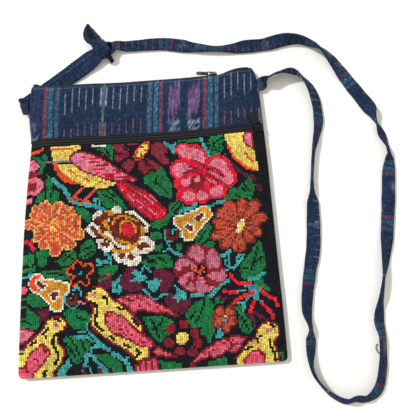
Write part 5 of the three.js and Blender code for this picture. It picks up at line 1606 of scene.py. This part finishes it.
MIDDLE_BIRD = [
    ("yellow", "dark_red", 0, """
    -61,-77 -57,-71 -54,-68 -49,-66.8 -43,-69.5 -37,-76 -35,-80 -29,-84 -23,-89 -16,-95.5 -11,-102
    -6.5,-107.5 -6.5,-114 -3,-122 -1,-135.5 -5,-138.5 -11,-139 -13,-142 -16,-138 -21,-132.5 -27,-127
    -34,-123.5 -41,-118.5 -47,-114 -51.5,-110 -56,-105 -57.5,-99 -56.5,-94.5 -53.5,-90
    -54.5,-86 -57,-83 -60,-80.5
    """),
    ("rose_flecked", "dark_red", 0, """
    -43.5,-97 -42.5,-94 -38,-91 -34,-92.5 -30,-95.5 -24,-97 -20.5,-102 -15,-108 -9,-113.5 -3,-118 2,-122
    3.5,-126 0,-128.5 -6,-127.5 -12,-125.5 -19,-121.5 -26,-118 -33,-115 -38,-111 -41,-106 -44,-101;
    -33,-81 -24,-78.5 -17,-76.8 -10,-77 -4,-79 2,-82.5 9,-87.5 17,-92 21,-96 28,-100 29,-102 22,-100.5
    14,-97.5 7,-96.5 0,-96 -5,-93.5 -11,-94 -14,-96.5 -19,-91.5 -26,-86;
    3,-128 8,-127 12,-131 18,-133.5 22,-136.5 24,-139 16,-138 9,-136.5 4,-136 1,-132;
    -16,-141 -13,-142 -11,-139 -5,-138.5 -1,-135.5 4,-137 6,-143 7,-148 -17,-148
    """),
    ("dark_red", "", 1.8, """
    -40,-97 -37,-95; -29,-105 -28,-107; -18,-114 -17,-116; -34,-112 -27,-114.5; -10,-121 -5,-123;
    -21,-81 -18,-83.5; -11,-80 -7,-84; -2,-86.5; 8,-91 9,-95; -11.5,-140 -11.5,-148; -6,-140 -6,-148;
    -1,-138 -1,-148
    """),
    ("pink", "", 4.8, "-52,-75.5"),
    ("dark_red", "", 2.2, "-51,-74"),
    ("ground", "", 2.8, """
    -56,-71 -51.5,-69.8; -43,-78.5 -39.5,-81.5; -40,-84.5; -31,-88.5 -26,-91; -16.5,-100 -11.5,-107.5;
    -38,-114.5 -35.5,-118; -25,-123.5 -21,-125.5; -14,-129 -11,-132 -15,-134.5;
    -55,-82 -50.5,-85.5 -49.5,-92 -51.5,-97.5 -51,-103 -48,-107 -45.5,-109
    """),
]
RIGHT_BIRDS = [
    ("yellow", "dark_red", 0, """
    72,-148.5 77,-142 82,-137.5 86.7,-131 92,-126.5 96.7,-124.7 97.6,-120 100,-115.6 105,-112 110.4,-110.6
    115.8,-111 120,-114.7 122,-120 120.5,-124 118.5,-127 115,-131 117,-135.5
    119,-142 119.5,-149
    """),
    ("rose_flecked", "dark_red", 0, """
    83,-148 86,-142.5 90,-138.5 95,-136 100,-134.5 104,-138 106,-143 105.5,-148.5;
    32,-146 36,-143 42,-137.5 46,-134 50,-132 55,-129 60,-126 66,-123.5 74,-122 82,-121.5 90,-124 86,-128
    84,-131.5 79,-137.5 74,-138 70,-135.5 64,-139.5 58,-141 54,-140.5 48,-141 43,-143 37,-146
    """),
    ("dark_red", "", 1.9, "101,-139.5 105,-143; 66,-128 72,-126; 73,-133 78,-129; 53,-135 54,-139"),
    ("pink", "", 5.2, "111,-119"),
    ("dark_red", "", 2.0, "111,-119"),
    ("ground", "", 2.3, """
    111.5,-113.5 115.5,-115.5; 102,-124; 113.7,-126.5; 99.5,-126.5 99.5,-129; 87,-135 92.5,-132.5;
    75.5,-145 79,-143.5; 111,-128 110.5,-133.5 113,-138 115,-143 114.5,-148.5
    """),
    ("yellow", "", 0, "81,75.5 109,76.5 110.5,62 112,50 113,36.5 108,36 103,38 96,44 90,50 86,58 84,65"),
    ("orange", "", 2.4, "84.5,64 87,56.5 90,50 95,45 102,39 110,36.5; 102,54 103.5,50 108.5,45.5"),
    ("pink", "dark_red", 0, """
    103,76.5 110.5,77.5 111.5,68.8 111,56.4 106.5,59.1 102.5,62.9 99.6,67.7 99.6,71.5
    """),
    ("maroon", "", 3.4, "88.5,41.5 93,37 98,33 102,30.5; 105.5,30 109,26.5"),
    ("maroon", "", 0, "108.5,22 113.5,23.5 116,18 115,15.5 111.5,15 109.5,18"),
]
PICTURE = (LEAVES + BRANCHES + TOP_FLOWERS + MIDDLE_FLOWERS + LOWER_FLOWERS
           + TOP_BIRD + LEFT_BIRD + MIDDLE_BIRD + RIGHT_BIRDS)


# %% [markdown]
# A stitch belongs to an area if a line from it to the far right crosses the area's edge an odd
# number of times. It belongs to a line if it is within half the line's width of one of its pieces.

# %% From the chart to stitches
OUTLINE_WIDTH = 1.7
MIX_PITCH = 1.3
TONE_PITCH = 0.9
TONES = (0.66, 0.8)


def shape_points(text):
    """Points of one shape from its text of x,y pairs."""
    return np.array([pair.split(",") for pair in text.split()], float)


def distance_to_line(x, y, points):
    """Shortest distance from each place to a line of points."""
    nearest = np.full(x.shape, np.inf)
    for (from_x, from_y), (to_x, to_y) in zip(points, points[min(1, len(points) - 1):]):
        run_x, run_y = to_x - from_x, to_y - from_y
        along = (x - from_x) * run_x + (y - from_y) * run_y
        share = np.clip(along / max(run_x ** 2 + run_y ** 2, 1e-9), 0, 1)
        nearest = np.minimum(nearest, np.hypot(x - from_x - share * run_x, y - from_y - share * run_y))
    return nearest


def within(x, y, points):
    """True for places inside a closed shape."""
    odd = np.zeros(x.shape, bool)
    for (from_x, from_y), (to_x, to_y) in zip(points, np.roll(points, -1, axis=0)):
        if from_y != to_y:
            crosses = (from_y > y) != (to_y > y)
            odd ^= crosses & (x < from_x + (y - from_y) / (to_y - from_y) * (to_x - from_x))
    return odd


def thread_colours(thread, chance):
    """Colour of each stitch in a thread or in a mix of two."""
    first, second, share = MIXED_THREADS.get(thread, (thread, thread, 0))
    return np.where((chance < share)[:, None], THREADS[second], THREADS[first])


def stitched_colours(x, y):
    """Colour of every stitch, and whether it is bare ground."""
    chance = scatter(x / MIX_PITCH, y / MIX_PITCH, 11)
    colours = np.tile(THREADS["ground"], (len(x), 1))
    ground = np.ones(len(x), bool)
    for thread, edge, width, shapes in PICTURE:
        for text in shapes.split(";"):
            points = shape_points(text)
            if width:
                mask = distance_to_line(x, y, points) <= width / 2
            else:
                mask = within(x, y, points)
            colours[mask] = thread_colours(thread, chance[mask])
            ground[mask] = thread == "ground"
            if edge:
                rim = mask & (distance_to_line(x, y, np.vstack([points, points[:1]])) < OUTLINE_WIDTH)
                colours[rim] = THREADS[edge]
    tone = TONES[0] + TONES[1] * scatter(x / TONE_PITCH, y / TONE_PITCH, 12)
    return colours * tone[:, None], ground


stitch_look = woven("embroidered_cloth", "Object", pitch=0.6, depth=0.15)

# %% [markdown]
# Each counted stitch is a short thread that stands up from the cloth like a tiny roof. Inside the hem
# the panel's grid has one cell for each stitch, and every such cell gets a ridge of two points down its
# middle. The ridge shows the thread's full colour and the cell's corners are painted darker, as
# painted shade where the thread dips in.

# %% The embroidered panel
PANEL_SIZE = (243.0, 221.5)
STITCH_PITCHES = (1.85, 1.85)
RIDGE = 0.5
GROUND_RIDGE = 0.15
RIDGE_REACH = 0.24
# how dark a stitch's corners are painted, as painted shade where the thread dips in; the second is for bare
# ground
DIP_PAINTED_SHADE = 0.32
GROUND_DIP_PAINTED_SHADE = 0.85
HEM_SHADE = 0.75
RIM_CELLS = 3
LEFT_BLEED = 5.6
BOTTOM_BLEED = 4.0

panel_x, panel_y, panel_high, panel_low = front_wall(PANEL_SIZE, STITCH_PITCHES, bottom_row, below_zip)
panel_top = grid_points(panel_x, panel_y, panel_high - RIDGE / 2)
panel_under = grid_points(panel_x, panel_y, panel_low)

cells = grid_faces(*panel_x.shape)
cell_row, cell_column = np.divmod(np.arange(len(cells)), panel_x.shape[1] - 1)
inner_rows = (cell_row >= RIM_CELLS) & (cell_row < panel_x.shape[0] - 1 - RIM_CELLS)
inner_columns = (cell_column >= RIM_CELLS) & (cell_column < panel_x.shape[1] - 1 - RIM_CELLS)
is_stitch = inner_rows & inner_columns
stitches, hem = cells[is_stitch], cells[~is_stitch]
corners = panel_top[stitches]
middles = corners.mean(axis=1)
upwards = (corners[:, 3] + corners[:, 2] - corners[:, 0] - corners[:, 1]) / 2


def picture_at(places):
    """Stitches at some places: past the chart's left and lower border its last stitches run on."""
    x, y = places[:, 0], places[:, 1]
    left, _ = side_edges(y)
    return stitched_colours(np.maximum(x, left + LEFT_BLEED), np.maximum(y, BOTTOM + BOTTOM_BLEED))


stitch_colours, is_ground = picture_at(middles)
ridge_lift = upright * np.where(is_ground, GROUND_RIDGE, RIDGE)[:, None]
ridge_points = [middles + reach * upwards + ridge_lift for reach in (-RIDGE_REACH, RIDGE_REACH)]

ridge_low = 2 * len(panel_top) + np.arange(len(stitches))
ridge_high = ridge_low + len(stitches)
c00, c10, c11, c01 = stitches.T
stitch_faces = [
    np.stack([c01, c00, ridge_low, ridge_high], axis=-1),
    np.stack([c10, c11, ridge_high, ridge_low], axis=-1),
    np.stack([c00, c10, ridge_low], axis=-1),
    np.stack([c11, c01, ridge_high], axis=-1),
]
panel_faces = stitch_faces + [hem] + wall_faces(*panel_x.shape)[1:]
panel_points = np.concatenate([panel_top, panel_under, *ridge_points])
embroidered_panel = new_piece(
    "soft_embroidered_panel", panel_points, panel_faces, stitch_look,
    "embroidered_panel")
# painted shade at each stitch's corners, where the thread dips in
painted_dip_colours = stitch_colours * np.where(is_ground, GROUND_DIP_PAINTED_SHADE, DIP_PAINTED_SHADE)[:, None]
corner_colours = [
    np.stack([painted_dip_colours, painted_dip_colours] + [stitch_colours] * (faces.shape[1] - 2), axis=1).reshape(-1, 3)
    for faces in stitch_faces
]
hem_colours, _ = picture_at(panel_top[hem].mean(axis=1))
corner_colours.append(np.repeat(hem_colours * HEM_SHADE, 4, axis=0))
plain_corners = sum(faces.size for faces in panel_faces[len(stitch_faces) + 1:])
corner_colours.append(np.tile(THREADS["ground"], (plain_corners, 1)))
paint(embroidered_panel, np.concatenate(corner_colours), "CORNER")
print(len(stitches), "stitches,", int(is_ground.sum()), "of them bare ground")

# %% [markdown]
# ## Zips and metal
#
# Each zip is two woven tapes with a coil of thread between them. The tapes are ribbed strips sunk
# between the cloth edges, and the coil is a low ridge whose surface rises and falls tooth by tooth,
# half a tooth apart on its two sides.

# %% Zip materials
SPECKLE_CONTRAST = 0.35


def tones(screen):
    """A darker and a lighter tone of a screen colour."""
    return linear(screen) * (1 - SPECKLE_CONTRAST), linear(screen) * (1 + SPECKLE_CONTRAST)


tape_look = speckled("zip_tape", *tones("16171D"), scale=600.0, rough=0.95)
coil_look = speckled("zip_coil", *tones("121318"), scale=600.0, rough=0.85)
dark_metal = speckled("pocket_zip_metal", *tones("2B2B31"), scale=200.0, rough=0.35, metallic=0.8)
# the top pull is the same dark metal as the rest, painted paler as a painted reflection
reflection_painted_metal = speckled("top_zip_metal", *tones("605F67"), scale=200.0, rough=0.25, metallic=0.85)

# %% The pocket zip
TAPE_THICKNESS = 1.2
TAPE_LINES = 7
COIL_HALF = 1.5
COIL_LINES = 11
COIL_ARCH = 0.9
COIL_ARCH_POWER = 2.5
COIL_BELOW_CLOTH = 0.3
COIL_END_INSET = 3.0
SLIDER_X = 117.0
SLIDER_HALF = 4.5
RIB_PITCH = 1.6
RIB_DEPTH = 0.16
TOOTH_PITCH = 1.2
TOOTH_DEPTH = 0.35
FINE_STEP = 0.3


def ridges(x, pitch, start=0):
    """Heights from 0 to 1 that rise and fall once in each pitch."""
    return 0.5 + 0.5 * np.sin(2 * np.pi * x / pitch + start)


def along_zip(from_x, to_x, offsets):
    """A grid of places along the pocket zip, at offsets from its middle line."""
    x, offset = np.meshgrid(np.arange(from_x, to_x, FINE_STEP), offsets)
    return x, zip_line(x) + offset, offset


left_end, right_end = side_edges(np.array(ZIP_Y))
tape_offsets = np.linspace(COIL_HALF + SEAM_GAP, SLOT_HALF - SEAM_GAP, TAPE_LINES)
for tape_name, offsets in (("upper", tape_offsets), ("lower", -tape_offsets[::-1])):
    tape_x, tape_y, _ = along_zip(left_end, right_end, offsets)
    smooth = front_height(tape_x, tape_y)
    tape_high = smooth - (WALL - TAPE_THICKNESS) - RIB_DEPTH * ridges(tape_x, RIB_PITCH)
    slab_piece(
        "pocket_zip_tape_" + tape_name, tape_x, tape_y, tape_high, smooth - WALL, tape_look)

coil_end = SLIDER_X - SLIDER_HALF - 2 * SEAM_GAP
coil_offsets = np.linspace(-COIL_HALF, COIL_HALF, COIL_LINES)
coil_x, coil_y, coil_off = along_zip(left_end + COIL_END_INSET, coil_end, coil_offsets)
coil_smooth = front_height(coil_x, coil_y)
tooth = ridges(coil_x, TOOTH_PITCH, np.where(coil_off > 0, np.pi, 0))
arched = COIL_ARCH * np.abs(coil_off / COIL_HALF) ** COIL_ARCH_POWER
coil_high = coil_smooth - COIL_BELOW_CLOTH - arched - TOOTH_DEPTH * tooth
slab_piece("pocket_zip_coil", coil_x, coil_y, coil_high, coil_smooth - WALL, coil_look)

# %% The top zip
TOP_TAPE_DEPTH = 8.0
TOP_TAPE_OUT = 0.2
TOP_TAPE_SHOWS = 0.8
TOP_TAPE_SHOWS_OVER = (80.0, 92.0)
TOP_TAPE_THICKNESS = 1.0
TOP_TAPE_INSET = 7.0
TOP_TAPE_PAST = 4.5
TOP_TAPE_CLEAR = 0.45
TOP_TAPE_LINES = 9
TOP_COIL_FROM = 0.5
TOP_COIL_TO = 2.3
TOP_END_BUMP = 1.3
TOP_END_SPREAD = 3.0
TOP_COIL_PAST = 6.0
TOP_COIL_HALF = 1.1
TOP_COIL_LINES = 5
TOP_COIL_ROUNDING = 0.7
TOP_TOOTH_DEPTH = 0.25
TOP_SLIDER_X = 75.5
CAP_HALF = 4.0

top_from = TOP_OPENING[0, 0] + TOP_TAPE_INSET
top_to = TOP_OPENING[-1, 0] - TOP_TAPE_INSET + TOP_TAPE_PAST
top_places = np.arange(top_from, top_to, FINE_STEP)
top_x, top_share = np.meshgrid(top_places, np.linspace(0, 1, TOP_TAPE_LINES))
top_y = top_edge(top_x) - TOP_TAPE_DEPTH + (TOP_TAPE_DEPTH + TOP_TAPE_OUT) * top_share
shown_y = top_y + TOP_TAPE_SHOWS * smooth_step(top_x, *TOP_TAPE_SHOWS_OVER) * top_share
top_ribs = RIB_DEPTH * ridges(top_x, RIB_PITCH)
front_inner = front_height(top_x, top_y) - WALL - TOP_TAPE_CLEAR
back_inner = back_height(top_x, top_y) + WALL + TOP_TAPE_CLEAR
slab_piece(
    "top_zip_tape_front", top_x, shown_y, front_inner, front_inner - TOP_TAPE_THICKNESS + top_ribs,
    tape_look)
slab_piece(
    "top_zip_tape_back", top_x, top_y, back_inner + TOP_TAPE_THICKNESS - top_ribs, back_inner,
    tape_look)

bar_places = np.arange(top_from - TOP_COIL_PAST, TOP_SLIDER_X - CAP_HALF - SEAM_GAP, FINE_STEP)
bar_x, bar_share = np.meshgrid(bar_places, np.linspace(0, 1, TOP_COIL_LINES))
bar_edge = top_edge(bar_x)
bar_middle = (front_height(bar_x, bar_edge) + back_height(bar_x, bar_edge)) / 2
bar_bump = TOP_END_BUMP * bell(bar_x - top_from + TOP_COIL_PAST / 2, 0, TOP_END_SPREAD)
bar_out = TOP_COIL_FROM + (TOP_COIL_TO - TOP_COIL_FROM + bar_bump) * bar_share
bar_round = TOP_COIL_HALF * np.sqrt(1 - TOP_COIL_ROUNDING * bar_share ** 2)
bar_tooth = ridges(bar_x, TOOTH_PITCH)
bar_high = bar_middle + bar_round - TOP_TOOTH_DEPTH * bar_tooth
bar_low = bar_middle - bar_round + TOP_TOOTH_DEPTH * (1 - bar_tooth)
slab_piece("top_zip_coil", bar_x, bar_edge + bar_out, bar_high, bar_low, coil_look)

# %% [markdown]
# The sliders and their pulls are cast metal. Their solids stay as they are, and a bevel rounds every
# sharp edge so that it catches the light.

# %% Sliders and pulls
BEVEL_WIDTH = 0.25
BEVEL_ANGLE = np.radians(25)
BEVEL_SEGMENTS = 3
WELD_WITHIN = 0.01

METAL_LOOKS = {
    "pocket_zip_slider": dark_metal,
    "pocket_zip_pull": dark_metal,
    "top_zip_slider": dark_metal,
    "top_zip_pull": reflection_painted_metal,
}

for metal_name, metal_look in METAL_LOOKS.items():
    metal = bpy.data.objects[metal_name]
    metal.data.materials.clear()
    metal.data.materials.append(metal_look)
    weld = metal.modifiers.new("weld", "WELD")
    weld.merge_threshold = WELD_WITHIN * MM
    bevel = metal.modifiers.new("bevel", "BEVEL")
    bevel.width = BEVEL_WIDTH * MM
    bevel.segments = BEVEL_SEGMENTS
    bevel.limit_method = "ANGLE"
    bevel.angle_limit = BEVEL_ANGLE
    bevel.use_clamp_overlap = True
